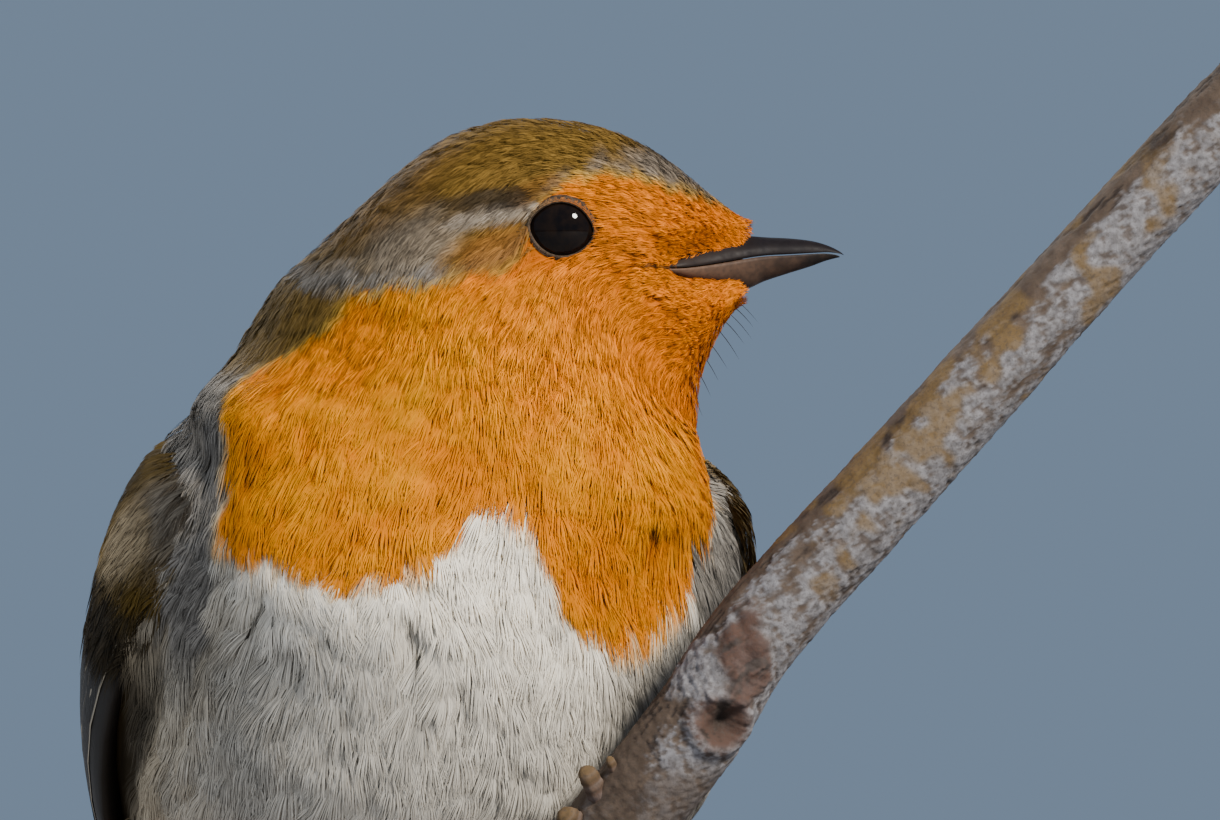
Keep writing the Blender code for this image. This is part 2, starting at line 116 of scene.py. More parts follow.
floor_disc()
air = bpy.data.worlds.new("air")
bpy.context.scene.world = air
air.use_nodes = True
background = air.node_tree.nodes["Background"]
background.inputs["Color"].default_value = (*AIR_COLOUR, 1.0)
background.inputs["Strength"].default_value = AIR_STRENGTH
for lamp_name, (place, size, power, colour, shine) in LAMPS.items():
    lamp_data = bpy.data.lights.new(lamp_name, "AREA")
    lamp_data.shape = "DISK"
    lamp_data.size = size
    lamp_data.energy = power
    lamp_data.color = colour
    lamp = placed(lamp_name, lamp_data)
    lamp.location = place
    lamp.rotation_euler = (PICTURE_CENTRE - lamp.location).to_track_quat("-Z", "Y").to_euler()
    lamp.visible_camera = False
    lamp.visible_glossy = shine

# ============================================================ skin
# One skin from the bill's base to the root of the tail. It is found from the frame's flesh
# solids, whose outside is the coat's outside, and lies inside them by the coat's depth.
BREAST_YAW = math.radians(20.0)        # the breast turns this far from -Y towards +X
TRUNK_SLOPE = math.radians(62.0)       # the trunk's axis above the horizontal
HEAD_LINE = (                          # mm from the trunk's centre: x, y, z and the ring's tilt
    (26.1, -9.0, 31.45, -94.0), (24.0, -9.0, 31.5, -85.0), (22.15, -9.0, 31.85, -79.0),
    (20.15, -9.0, 32.15, -74.0), (17.4, -9.0, 32.2, -65.0), (14.05, -9.0, 31.35, -55.0),
    (11.3, -9.0, 29.3, -47.0), (8.8, -9.0, 26.0, -38.0), (6.6, -8.6, 22.3, -30.0),
    (4.65, -7.6, 18.0, -23.5),
)
TRUNK_LINE = (                         # mm: along the trunk to the head, rise towards the back
    (13.5, -0.6), (4.0, -1.0), (-6.0, -1.0), (-16.0, 1.2), (-25.0, 3.4), (-32.0, 5.4),
    (-38.0, 7.2), (-44.0, 7.9),
)
FLESH = ("head", "neck", "trunk", "tail", "wing_left", "wing_right")
BODY_ROWS = 260                        # rings from the bill to the tail
BODY_COLUMNS = 256                     # points round each ring
TRUNK_SHARE = (0.0,) * 7 + (0.15, 0.35, 0.55) + (1.0,) * 8    # how far a ring has turned to the trunk
NAPE_LAG = 0.2                         # the first trunk ring leans back this much less
CAST_REACH = (5.0, 7.5, 8.5, 10.5, 13.5, 16.0, 18.0, 19.5, 21.5, 24.0, 28.0) + (30.0,) * 7
COAT_DEPTHS = (0.3, 0.5, 0.6, 0.7, 0.8, 0.9, 1.0, 1.2, 1.5, 1.8, 2.2, 2.6, 2.8, 2.8, 2.6, 2.0,
               1.4, 1.0)               # mm, at each row of the two lines
SOCKET_PASSES = 400                    # how often the grid is softened over an eye socket,
COAT_PASSES = 6                        # over the whole coat,
BREAST_PASSES = 60                     # and where the breast is evened
BREAST_EVENED = (8.6, 9.3, 10.8, 11.6)    # stations between which the breast has no fold
BREAST_SIDES = (98.0, 78.0)            # degrees from the breast's middle over which that fades
SHOULDER_FULL = 2.3                    # mm the coat stands out over the right shoulder
SHOULDER_HEIGHT = (19.4, 3.6)          # mm: the height of that fullness, and how far it spreads
SHOULDER_SIDE = (-12.0, -21.0)         # mm to the left, between which it grows
SOCKET_MARGIN = 0.9 * MM               # the skin is bridged this far round an eyeball
FORWARD = np.array((math.sin(BREAST_YAW), -math.cos(BREAST_YAW), 0.0))
LEFT = np.array((math.cos(BREAST_YAW), math.sin(BREAST_YAW), 0.0))
UP = np.array((0.0, 0.0, 1.0))
HEADWARD = FORWARD * math.cos(TRUNK_SLOPE) + UP * math.sin(TRUNK_SLOPE)
BACKWARD = UP * math.cos(TRUNK_SLOPE) - FORWARD * math.sin(TRUNK_SLOPE)


def smooth(low, high, value):
    """A soft step from 0 at low to 1 at high."""
    t = np.clip((value - low) / (high - low), 0.0, 1.0)
    return t * t * (3.0 - 2.0 * t)


def through(rows, place):
    """Rows read on a smooth curve at an array of places."""
    rows = np.asarray(rows, float)
    if rows.ndim == 1:
        rows = rows[:, None]
    last = len(rows) - 1
    place = np.clip(np.asarray(place, float), 0.0, last)
    start = np.minimum(place.astype(int), last - 1)
    t = (place - start)[:, None]
    p, q, r, s = (rows[np.clip(start + k, 0, last)] for k in (-1, 0, 1, 2))
    return 0.5 * (2 * q + (r - p) * t + (2 * p - 5 * q + 4 * r - s) * t * t
                  + (3 * q - p - 3 * r + s) * t ** 3)


def unit(vectors):
    """Vectors of length one."""
    return vectors / np.maximum(np.linalg.norm(vectors, axis=-1, keepdims=True), 1e-12)


def flesh_tree():
    """All flesh solids of the frame as one tree for ray casts."""
    points, faces = [], []
    for name in FLESH:
        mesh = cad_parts[name].data
        start = len(points)
        points += [v.co.copy() for v in mesh.vertices]
        faces += [[start + i for i in face.vertices] for face in mesh.polygons]
    return BVHTree.FromPolygons(points, faces)


def spine_rows():
    """Each ring's middle in mm, its direction to the throat or left, and to the far side."""
    rows = []
    for x, y, z, tilt in HEAD_LINE:
        tilt = math.radians(tilt)
        rows.append((x, y, z, math.cos(tilt), 0.0, math.sin(tilt), 0.0, 1.0, 0.0))
    for along, rise in TRUNK_LINE:
        rows.append((*(HEADWARD * along + BACKWARD * rise), *LEFT, *BACKWARD))
    rows = np.array(rows)
    share = np.array(TRUNK_SHARE)[:, None]
    rows[:, 3:] = rows[:, 3:] * (1.0 - share) + np.concatenate((LEFT, BACKWARD)) * share
    rows[len(HEAD_LINE), 6:] += NAPE_LAG * (np.array((0.0, 1.0, 0.0)) - BACKWARD)
    return rows


def even_stations():
    """Places along the spine that are evenly spaced in length."""
    fine = np.linspace(0.0, len(SPINE) - 1, 2000)
    path = through(SPINE, fine)[:, :3]
    run = np.concatenate(([0.0], np.cumsum(np.linalg.norm(np.diff(path, axis=0), axis=1))))
    return np.interp(np.linspace(0.0, run[-1], BODY_ROWS), run, fine)


def blurred(grid, passes):
    """A grid of values softened along and round the body."""
    for _ in range(passes):
        ends = np.concatenate((grid[:1], grid, grid[-1:]))
        grid = (ends[:-2] + 2 * grid + ends[2:]) / 4
        grid = (np.roll(grid, 1, axis=1) + 2 * grid + np.roll(grid, -1, axis=1)) / 4
    return grid


SPINE = spine_rows()
STATION = even_stations()
spine_middle, spine_across, spine_deep = np.split(through(SPINE, STATION), 3, axis=1)
spine_points = np.array(TRUNK_CENTRE) + spine_middle * MM
spine_across, spine_deep = unit(spine_across), unit(spine_deep)
ring_turns = np.linspace(0.0, 2 * math.pi, BODY_COLUMNS, endpoint=False)
ring_rays = (spine_across[:, None] * np.cos(ring_turns)[None, :, None]
             + spine_deep[:, None] * np.sin(ring_turns)[None, :, None])


def coat_reach():
    """Distance from the spine to the coat's outside, for each row and column."""
    tree = flesh_tree()
    reach = np.zeros((BODY_ROWS, BODY_COLUMNS))
    limits = through(CAST_REACH, STATION)[:, 0] * MM
    for i, limit in enumerate(limits):
        centre = Vector(spine_points[i])
        for j in range(BODY_COLUMNS):
            ray = Vector(ring_rays[i, j])
            hit = tree.ray_cast(centre + ray * limit, -ray, limit)[0]
            reach[i, j] = (hit - centre).length if hit else 0.0
    return reach


def sealed(reach):
    """The reach with cuts and eye sockets closed, the breast evened and a shoulder filled."""
    # The thin gaps between solids.
    for _ in range(2):
        reach = np.max([np.roll(reach, k, axis=1) for k in (-1, 0, 1)], axis=0)
        ends = np.concatenate((reach[:1], reach, reach[-1:]))
        reach = np.max((ends[:-2], reach, ends[2:]), axis=0)
    # The eye sockets.
    points = spine_points[:, None] + ring_rays * reach[..., None]
    for name in ("eye_left", "eye_right"):
        low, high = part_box(name)
        from_eye = np.linalg.norm(points - np.array((low + high) / 2), axis=-1)
        socket = from_eye < (high.z - low.z) / 2 + SOCKET_MARGIN
        for _ in range(SOCKET_PASSES):
            reach = np.where(socket, blurred(reach, 1), reach)
    reach = blurred(reach, COAT_PASSES)
    # The fold between neck and breast, then the hollow over the right shoulder.
    front = np.abs((np.degrees(ring_turns) + 90.0 + 180.0) % 360.0 - 180.0)
    low, near, far, high = BREAST_EVENED
    share = smooth(low, near, STATION)[:, None] * smooth(high, far, STATION)[:, None]
    share = share * smooth(*BREAST_SIDES, front)[None]
    reach = reach + (blurred(reach, BREAST_PASSES) - reach) * share
    points = (spine_points[:, None] + ring_rays * reach[..., None] - np.array(TRUNK_CENTRE)) / MM
    height, spread = SHOULDER_HEIGHT
    fuller = SHOULDER_FULL * np.exp(-((points[..., 2] - height) / spread) ** 2)
    return reach + fuller * smooth(*SHOULDER_SIDE, points @ LEFT) * MM


def grid_normals(points):
    """Outward normals of a grid of points that closes on itself round the body."""
    along = np.gradient(points, axis=0)
    wide = np.roll(points, -1, axis=1) - np.roll(points, 1, axis=1)
    return unit(np.cross(along, wide))


GAPE_TOP = ((20.4, 31.2), (21.3, 31.75), (22.6, 32.1), (23.6, 32.4), (24.6, 32.9), (25.8, 33.4),
            (26.9, 34.4))              # mm: x and z of the lowest feathers over the bill
GAPE_FLOOR = ((20.4, 30.5), (21.3, 29.85), (22.6, 29.75), (24.7, 29.8), (25.9, 29.2), (26.9, 28.6))
HEAD_PLANE_Y = TRUNK_CENTRE.y - 9.0 * MM    # the head's middle plane
GAPE_SLOPE = 3.0                       # mm over which the face falls to the bill
BILL_BASE = ((18.0, 7.4), (20.0, 6.3), (21.2, 5.2), (22.6, 4.2), (24.6, 3.1),
             (27.0, 2.1))              # mm: x and the half width of the bill there
BILL_CLEAR = 0.45                      # mm the skin keeps inside that half width


def in_gape(points):
    """How far in mm points lie between the feather edges over and under the bill's base."""
    x, _, z = np.moveaxis((points - np.array(TRUNK_CENTRE)) / MM, -1, 0)
    top, floor = (np.interp(x, *np.transpose(edge)) for edge in (GAPE_TOP, GAPE_FLOOR))
    return np.minimum(np.minimum(top - z, z - floor), x - GAPE_TOP[0][0])


def drawn_in(points):
    """The coat's outside with the bill's base laid bare between its feather edges."""
    bare = np.interp((points[..., 0] - TRUNK_CENTRE.x) / MM, *np.transpose(BILL_BASE)) - BILL_CLEAR
    aside = points[..., 1] - HEAD_PLANE_Y
    deep = np.sign(aside) * np.minimum(np.abs(aside), bare * MM)
    share = smooth(-GAPE_SLOPE, 0.15, in_gape(points))
    points = points.copy()
    points[..., 1] = HEAD_PLANE_Y + aside + (deep - aside) * share
    return points


coat_top = spine_points[:, None] + ring_rays * sealed(coat_reach())[..., None]
coat_top = drawn_in(coat_top)
top_normals = grid_normals(coat_top)
coat_depth = through(COAT_DEPTHS, STATION) * MM
skin_grid = coat_top - top_normals * coat_depth[..., None]

# ------------------------------------------------------------ markings
# Where each colour of the plumage lies. The orange runs from the forehead round the eye and
# down the breast, edged with blue-grey; crown, back and wings are olive brown, the belly
# white, and the flanks buff. A station counts the rows of HEAD_LINE and TRUNK_LINE.
BIB_MIDLINE = (0.0, -90.0)             # degrees round the body: the throat's, the breast's
BIB_TURN = (7.0, 10.0)                 # the midline swings over these stations
BIB_SIDES = ((7.6, 142.0), (8.2, 128.0), (9.0, 112.0), (9.6, 88.0), (10.2, 77.0), (18.0, 72.0))
FACE_TOP = ((-12.0, 27.6), (-9.3, 28.5), (-4.2, 28.3), (0.8, 29.2), (4.0, 30.2), (7.0, 31.4),
            (8.6, 36.0), (11.0, 38.2), (14.2, 39.1), (19.2, 38.4), (22.3, 37.0), (24.0, 36.7),
            (27.0, 36.4))              # mm: x and z of the orange's upper edge on the head
BIB_HEM = ((-24.0, 6.8), (-21.0, 5.4), (-17.6, 3.1), (-12.5, 3.6), (-9.0, 5.0), (-6.5, 8.4),
           (-3.5, 9.6), (-0.5, 8.0), (1.8, 3.0), (4.0, -0.4), (8.6, -2.2), (12.6, -1.2),
           (16.3, 2.3), (19.0, 6.4), (21.0, 11.0))    # mm: to the left, and its height
WING_LOW = ((9.0, -4.0), (10.2, -10.0), (11.0, -8.0), (12.3, -2.0), (13.5, 4.0), (15.2, 10.0),
            (17.0, 18.0))              # station, and degrees round to a folded wing's lower edge
MILLIMETRES_A_DEGREE = 0.38            # round the breast
BIB_TRIM = 1.7                         # mm the orange stops short on the right side
GREY_BAND = ((0.0, 0.4), (5.0, 0.4), (6.5, 1.0), (7.6, 2.4), (8.5, 3.6), (10.5, 5.5), (12.0, 4.0),
             (14.0, 0.0))              # station and mm: the blue-grey edge of the orange
FACE_SPOTS = {                         # x, z, half length, half height in mm, tilt, strength
    "grey": ((-2.4, 32.0, 5.2, 2.9, 28.0, 0.65), (4.6, 34.9, 5.6, 0.9, 12.0, 0.8),
             (19.0, 39.4, 3.4, 1.2, -24.0, 0.85), (22.6, 37.9, 2.4, 0.8, -38.0, 0.8)),
    "dark": ((4.3, 36.2, 4.4, 1.05, 8.0, 0.86), (0.2, 35.3, 2.8, 0.5, 22.0, 0.5),
             (20.0, 40.6, 4.6, 0.8, -27.0, 0.75), (21.5, 38.2, 4.0, 1.2, -32.0, 0.25),
             (-6.0, 35.5, 7.0, 4.5, 38.0, 0.30), (-13.0, 27.5, 5.0, 5.0, 50.0, 0.25),
             (18.6, 31.05, 1.9, 0.14, 0.0, 0.8)),
    "pale": ((4.4, 34.7, 3.2, 0.42, 10.0, 0.22), (8.0, 35.0, 0.7, 1.3, -35.0, 0.35)),
    "brown": ((5.0, 31.9, 4.2, 2.0, 16.0, 0.9), (8.6, 37.3, 2.6, 1.1, 28.0, 0.55),
              (-5.0, 37.5, 9.0, 4.0, 36.0, 0.30), (15.5, 32.6, 3.4, 1.2, -8.0, 0.40)),
}
FACE_DEPTH = 0.13                      # share of brown in the deeper orange of the face
RUMP_EDGE = ((11.5, 0.0), (13.5, 4.0), (15.2, 12.0),
             (17.0, 18.0))             # station, and degrees by which the olive draws back there


def body_marks(points, station, turn):
    """Shares of each colour at points of the body, all from 0 to 1."""
    x, y, z = ((points - np.array(TRUNK_CENTRE)) / MM).T
    lateral = (points - np.array(TRUNK_CENTRE)) @ LEFT / MM
    midline = BIB_MIDLINE[0] + (BIB_MIDLINE[1] - BIB_MIDLINE[0]) * smooth(*BIB_TURN, station)
    swing = np.abs((turn - midline + 180.0) % 360.0 - 180.0)
    wander = (np.sin(0.9 * x + 0.5 * z) * np.sin(0.7 * z - 0.4 * y + 1.3)
              + 0.5 * np.sin(2.3 * x - 1.7 * z + y))
    # The orange, by the distance in mm inside its edge on the head, at its sides and its hem.
    side = (np.interp(station, *np.transpose(BIB_SIDES)) - swing) * MILLIMETRES_A_DEGREE
    side = side - BIB_TRIM * smooth(-12.0, -18.0, lateral) * smooth(8.2, 8.8, station)
    hem = z - np.interp(lateral, *np.transpose(BIB_HEM))
    face = np.interp(x, *np.transpose(FACE_TOP)) - z
    body = np.minimum(side, np.where(station > 9.0, hem, 9.0))
    inside = face + (body - face) * smooth(7.5, 8.4, station) + 0.45 * wander
    marks = {"bib": smooth(-0.9, 0.9, inside)}
    # Blue-grey along that edge, and in patches on the flanks, under the belly and at the sides;
    # the grey of the flanks, the lower belly and the bird's left side is partly painted shade.
    band = np.interp(station, *np.transpose(GREY_BAND))
    outside = -np.where(station < 8.0, face, side)
    beyond = smooth(-1.2, 0.6, outside + 0.4 * wander) * (1.0 - marks["bib"])
    marks["grey"] = beyond * smooth(band + 1.5, band - 1.5, outside + 0.8 * wander)
    plain = 1.0 - marks["bib"]
    belly = smooth(9.8, 11.5, station)
    # Grey on the flanks and growing lower on the belly: partly the plumage's own, partly painted
    # shade.
    flank = smooth(22.0, 60.0, swing + 5.0 * wander) * belly
    under = 0.42 * smooth(5.0, -9.0, z + 2.0 * wander) * belly
    flanks = np.maximum(0.68 * flank, under) * plain * smooth(104.0, 84.0, swing)
    # Grey on the bird's left side and low on the left of the belly: partly plumage, partly painted
    # shade.
    far = smooth(16.0, 18.8, lateral + 0.5 * wander) * smooth(9.6, 10.2, station) * plain
    near = 0.85 * smooth(3.0, 12.0, lateral + wander) * smooth(5.0, -1.0, z) * plain
    left = np.maximum(far, near * smooth(9.8, 10.8, station)) * smooth(110.0, 96.0, swing)
    right = 0.9 * smooth(-18.0, -21.0, lateral + 0.5 * wander) * smooth(2.0, 9.0, z)
    right = right * smooth(8.2, 9.0, station) * smooth(132.0, 116.0, swing) * plain
    behind = np.where(station < 8.0, 1.0, smooth(120.0, 95.0, swing))
    marks["grey"] = np.max([marks["grey"] * behind, flanks, left, right], axis=0)
    # Olive on crown and back, buff on the flanks, and painted shadow by each folded wing's lower edge.
    edge = np.interp(station, *np.transpose(RUMP_EDGE))
    over = smooth(78.0, 100.0, swing - edge + 3.0 * wander * smooth(13.0, 11.0, station))
    marks["olive"] = np.maximum(smooth(8.8, 7.8, station), over)
    flank = smooth(52.0, 78.0, swing + 4.0 * wander) * smooth(9.8, 11.5, station)
    marks["buff"] = flank * (1.0 - smooth(95.0, 110.0, swing)) * (1.0 - 0.5 * marks["grey"])
    marks["grey"] = marks["grey"] * (1.0 - 0.72 * flank * smooth(11.0, 12.0, station))
    # The dark mark just below each folded wing's lower edge is painted shadow between wing and flank.
    low = np.interp(station, *np.transpose(WING_LOW)) + 90.0
    marks["dark"] = (0.9 * smooth(low - 9.0, low - 4.0, swing) * smooth(11.4, 11.9, station)
                     * smooth(14.4, 13.6, station) * smooth(low + 12.0, low + 5.0, swing))
    # The small patches of the face.
    for name, spots in FACE_SPOTS.items():
        share = np.zeros_like(x)
        for sx, sz, long, high, tilt, strength in spots:
            tilt = math.radians(tilt)
            u = ((x - sx) * math.cos(tilt) + (z - sz) * math.sin(tilt)) / long
            v = ((z - sz) * math.cos(tilt) - (x - sx) * math.sin(tilt)) / high
            spot = strength * smooth(1.4, 0.5, np.hypot(u, v) + 0.10 * wander)
            share = np.maximum(share, spot * (station < 9.0))
        marks[name] = np.maximum(marks.get(name, 0.0), share)
    marks["brown"] = np.maximum(marks["brown"], FACE_DEPTH * smooth(8.0, 5.5, station))
    return marks


MARKS = ("bib", "grey", "olive", "buff", "dark", "pale", "brown")


def store(mesh, name, values):
    """Put one number for each point on a mesh, for its material to read."""
    attribute = mesh.attributes.new(name, "FLOAT", "POINT")
    attribute.data.foreach_set("value", np.ascontiguousarray(values, np.float32).ravel())


# ------------------------------------------------------------ plumage colours
# One finish for skin and barbs: a feather takes its colour from the marks, and is darker at
# its hidden root than at its tip, partly its greyer base and partly painted shade in the coat.
PLUMAGE = {
    # The grey also paints shade on the flanks, the lower belly and the bird's left side.
    "belly": (0.90, 0.83, 0.70), "olive": (0.148, 0.090, 0.020), "grey": (0.20, 0.180, 0.155),
    # The dark colour also paints the shadow along each folded wing's lower edge.
    "buff": (0.36, 0.245, 0.10), "bib": (0.560, 0.120, 0.0), "dark": (0.030, 0.024, 0.017),
    "pale": (0.40, 0.345, 0.27), "brown": (0.21, 0.090, 0.018),
}
BIB_FRINGE = (0.62, 0.36, 0.05)        # where orange thins out into grey or white
BIB_GLOW = (0.67, 0.28, 0.0)           # the yellower tips of some orange feathers


def shader_group(name, inputs, outputs):
    """An empty shader node group with its sockets, and its input and output nodes."""
    tree = bpy.data.node_groups.new(name, "ShaderNodeTree")
    for socket, (kind, default) in inputs.items():
        made = tree.interface.new_socket(socket, in_out="INPUT", socket_type=kind)
        made.default_value = default
    for socket, kind in outputs.items():
        tree.interface.new_socket(socket, in_out="OUTPUT", socket_type=kind)
    return tree, tree.nodes.new("NodeGroupInput"), tree.nodes.new("NodeGroupOutput")


def mixed(tree, share, low, high, blend="MIX"):
    """The colour output of a mix of two colours; each value is a socket or a constant."""
    node = tree.nodes.new("ShaderNodeMix")
    node.data_type = "RGBA"
    node.blend_type = blend
    for socket, value in ((0, share), (6, low), (7, high)):
        if isinstance(value, bpy.types.NodeSocket):
            tree.links.new(value, node.inputs[socket])
        elif isinstance(value, tuple):
            node.inputs[socket].default_value = (*value, 1.0)
        else:
            node.inputs[socket].default_value = value
    return node.outputs[2]


def maths(tree, operation, *values):
    """The output of a Math node on sockets or constants."""
    node = tree.nodes.new("ShaderNodeMath")
    node.operation = operation
    for socket, value in enumerate(values):
        if isinstance(value, bpy.types.NodeSocket):
            tree.links.new(value, node.inputs[socket])
        else:
            node.inputs[socket].default_value = value
    return node.outputs[0]


def noise(tree, scale, detail=3.0, roughness=0.5):
    """The value of a noise in the object's own metres."""
    place = tree.nodes.new("ShaderNodeTexCoord")
    node = tree.nodes.new("ShaderNodeTexNoise")
    node.inputs["Scale"].default_value = scale
    node.inputs["Detail"].default_value = detail
    node.inputs["Roughness"].default_value = roughness
    tree.links.new(place.outputs["Object"], node.inputs["Vector"])
    return node.outputs["Fac"]


def ranged(tree, value, low, high, to_low, to_high):
    """A value carried from one range to another."""
    node = tree.nodes.new("ShaderNodeMapRange")
    node.inputs["From Min"].default_value = low
    node.inputs["From Max"].default_value = high
    node.inputs["To Min"].default_value = to_low
    node.inputs["To Max"].default_value = to_high
    tree.links.new(value, node.inputs["Value"])
    return node.outputs["Result"]


def mottled(tree, scale, low, high, most, plain, other):
    """A colour that turns by a share towards another as a noise rises from low to high."""
    return mixed(tree, ranged(tree, noise(tree, scale), low, high, 0.0, most), plain, other)


def mark_value(tree, name):
    """The value of a mark that the mesh carries."""
    node = tree.nodes.new("ShaderNodeAttribute")
    node.attribute_name = name
    return node.outputs["Fac"]


def shaded(tree, colour, shade):
    """A colour made darker or lighter by one value."""
    grey = tree.nodes.new("ShaderNodeCombineColor")
    for channel in range(3):
        tree.links.new(shade, grey.inputs[channel])
    return mixed(tree, 1.0, colour, grey.outputs["Color"], "MULTIPLY")


def plumage_group():
    """Feather colour from the marks, with a darker root (partly painted shade), a paler tip and soft
    patches.
    """
    inputs = {mark: ("NodeSocketFloat", 0.0) for mark in MARKS}
    inputs["tone"] = ("NodeSocketFloat", 0.5)
    inputs["reach"] = ("NodeSocketFloat", 0.5)
    tree, start, end = shader_group("plumage", inputs, {"Color": "NodeSocketColor"})
    colour = mixed(tree, start.outputs["olive"], PLUMAGE["belly"], PLUMAGE["olive"])
    for mark in ("buff", "grey", "brown"):
        colour = mixed(tree, start.outputs[mark], colour, PLUMAGE[mark])
    glow = maths(tree, "MULTIPLY", ranged(tree, noise(tree, 160.0), 0.35, 0.7, 0.45, 1.0),
                 start.outputs["reach"])
    glow = maths(tree, "MULTIPLY", glow, ranged(tree, start.outputs["brown"], 0.0, 0.15, 1.0, 0.25))
    orange = mixed(tree, glow, PLUMAGE["bib"], BIB_GLOW)
    orange = mixed(tree, ranged(tree, start.outputs["bib"], 0.35, 0.95, 0.0, 1.0), BIB_FRINGE, orange)
    bib = maths(tree, "MULTIPLY", start.outputs["bib"],
                maths(tree, "SUBTRACT", 1.0, maths(tree, "MULTIPLY", start.outputs["brown"], 0.6)))
    colour = mixed(tree, bib, colour, orange)
    colour = mixed(tree, start.outputs["pale"], colour, PLUMAGE["pale"])
    colour = mixed(tree, start.outputs["dark"], colour, PLUMAGE["dark"])
    # Darker towards the root by the reach: partly a feather's greyer base, partly painted shade in the
    # coat.
    shade = maths(tree, "MULTIPLY", ranged(tree, start.outputs["tone"], 0.0, 1.0, 0.50, 1.50),
                  ranged(tree, start.outputs["reach"], 0.0, 0.8, 0.72, 1.04))
    patch = ranged(tree, noise(tree, 420.0), 0.3, 0.7, 0.94, 1.06)
    shade = maths(tree, "MULTIPLY", shade, patch)
    tree.links.new(shaded(tree, colour, shade), end.inputs["Color"])
    return tree


plumage_nodes = plumage_group()


def marked_material(name, roughness):
    """A feather or skin material that reads the marks from its mesh."""
    made, shader = plain_material(name, PLUMAGE["belly"], roughness)
    shader.inputs["Specular IOR Level"].default_value = 0.03
    tree = made.node_tree
    group = tree.nodes.new("ShaderNodeGroup")
    group.node_tree = plumage_nodes
    for mark in (*MARKS, "tone", "reach"):
        tree.links.new(mark_value(tree, mark), group.inputs[mark])
    tree.links.new(group.outputs["Color"], shader.inputs["Base Color"])
    return made


skin_down = marked_material("skin_down", 0.9)
feather_barbs = marked_material("feather_barbs", 0.62)
SKIN_EVERY = 2                         # the skin keeps every second row and column of the grid
# The skin's low tone and reach make it darker than the barbs: partly grey down, partly painted shade
# in the coat's gaps.
SKIN_TONE_AND_SHADE = {"tone": 0.42, "reach": 0.45}


def skin():
    """The skin as one closed mesh, with the same marks as the coat."""
    rows = skin_grid[::SKIN_EVERY, ::SKIN_EVERY]
    count, sides = rows.shape[:2]
    points = np.concatenate((rows.reshape(-1, 3), rows[:1].mean(axis=1), rows[-1:].mean(axis=1)))
    i, j = np.meshgrid(np.arange(count - 1), np.arange(sides), indexing="ij")
    k = (j + 1) % sides
    quads = np.stack((i * sides + j, (i + 1) * sides + j, (i + 1) * sides + k, i * sides + k), -1)
    faces = quads.reshape(-1, 4).tolist()
    first, last, end = count * sides, count * sides + 1, (count - 1) * sides
    faces += [[first, (n + 1) % sides, n][::-1] for n in range(sides)]
    faces += [[last, end + n, end + (n + 1) % sides][::-1] for n in range(sides)]
    mesh = bpy.data.meshes.new("skin")
    mesh.from_pydata(points.tolist(), [], faces)
    mesh.shade_smooth()
    station = np.append(np.repeat(STATION[::SKIN_EVERY], sides), (0.0, STATION[-1]))
    turn = np.append(np.tile(np.degrees(ring_turns[::SKIN_EVERY]), count), (0.0, 0.0))
    for name, values in body_marks(points, station, turn).items():
        store(mesh, name, values)
    for name, value in SKIN_TONE_AND_SHADE.items():
        store(mesh, name, np.full(len(points), value))
    mesh.materials.append(skin_down)
    return placed("skin", mesh)


body_skin = skin()
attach(body_skin, "root")
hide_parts("head", "neck", "trunk")

# ============================================================ coat
# Body feathers. Each is a tuft of fine barbs that leave a hidden shaft and run nearly side by
# side to a rounded tip; it follows the body's curve and lies on the feather below.
RANDOM = np.random.default_rng(7)
COAT_SPACING = (0.42, 0.46, 0.50, 0.52, 0.55, 0.60, 0.66, 0.75, 0.9, 1.15, 1.4, 1.6, 1.7, 1.7,
                1.7, 1.6, 1.5, 1.4)    # mm between roots, at each row of the two lines
COAT_LENGTH = (0.7, 1.4, 1.9, 2.1, 2.4, 2.8, 3.3, 4.0, 5.0, 6.4, 7.8, 8.8, 9.2, 9.2, 9.0, 8.0,
               7.0, 6.0)               # mm, a feather's length
COAT_WIDTH = (0.35, 0.42, 0.5, 0.55, 0.6, 0.7, 0.85, 1.0, 1.2, 1.5, 1.9, 2.2, 2.3, 2.3, 2.3, 2.1,
              1.9, 1.7)                # mm, its half width
BARB_WIDTH = (0.07, 0.07, 0.075, 0.08, 0.08, 0.085, 0.09, 0.095, 0.10, 0.10, 0.105, 0.11, 0.11,
              0.11, 0.11, 0.11, 0.12, 0.12)    # mm
WING_HIGH = ((9.0, 20.0), (10.2, 40.0), (11.0, 54.0), (12.3, 66.0), (13.5, 74.0), (15.2, 76.0),
             (17.0, 66.0))             # station, and degrees round to a folded wing's upper edge
WING_FIRST = (10.6, 10.15)             # stations where the right and the left wing begin
COAT = {                               # stations, barbs a feather, joints a barb, which way
    "coat_nasal": (0.0, 1.3, 13, 3, -1.0), "coat_face": (0.1, 4.6, 19, 3, 1.0),
    "coat_head": (4.6, 7.6, 26, 3, 1.0), "coat_neck": (7.6, 9.7, 46, 4, 1.0),
    "coat_body": (9.7, 13.2, 82, 4, 1.0), "coat_vent": (13.2, 17.0, 66, 4, 1.0),
}
TAIL_RISE = 8.5                        # mm from the trunk's axis to the tail, towards the back
TAIL_WRAP = (17.0, 5.5)                # mm in which tail coverts draw in and close on the tail
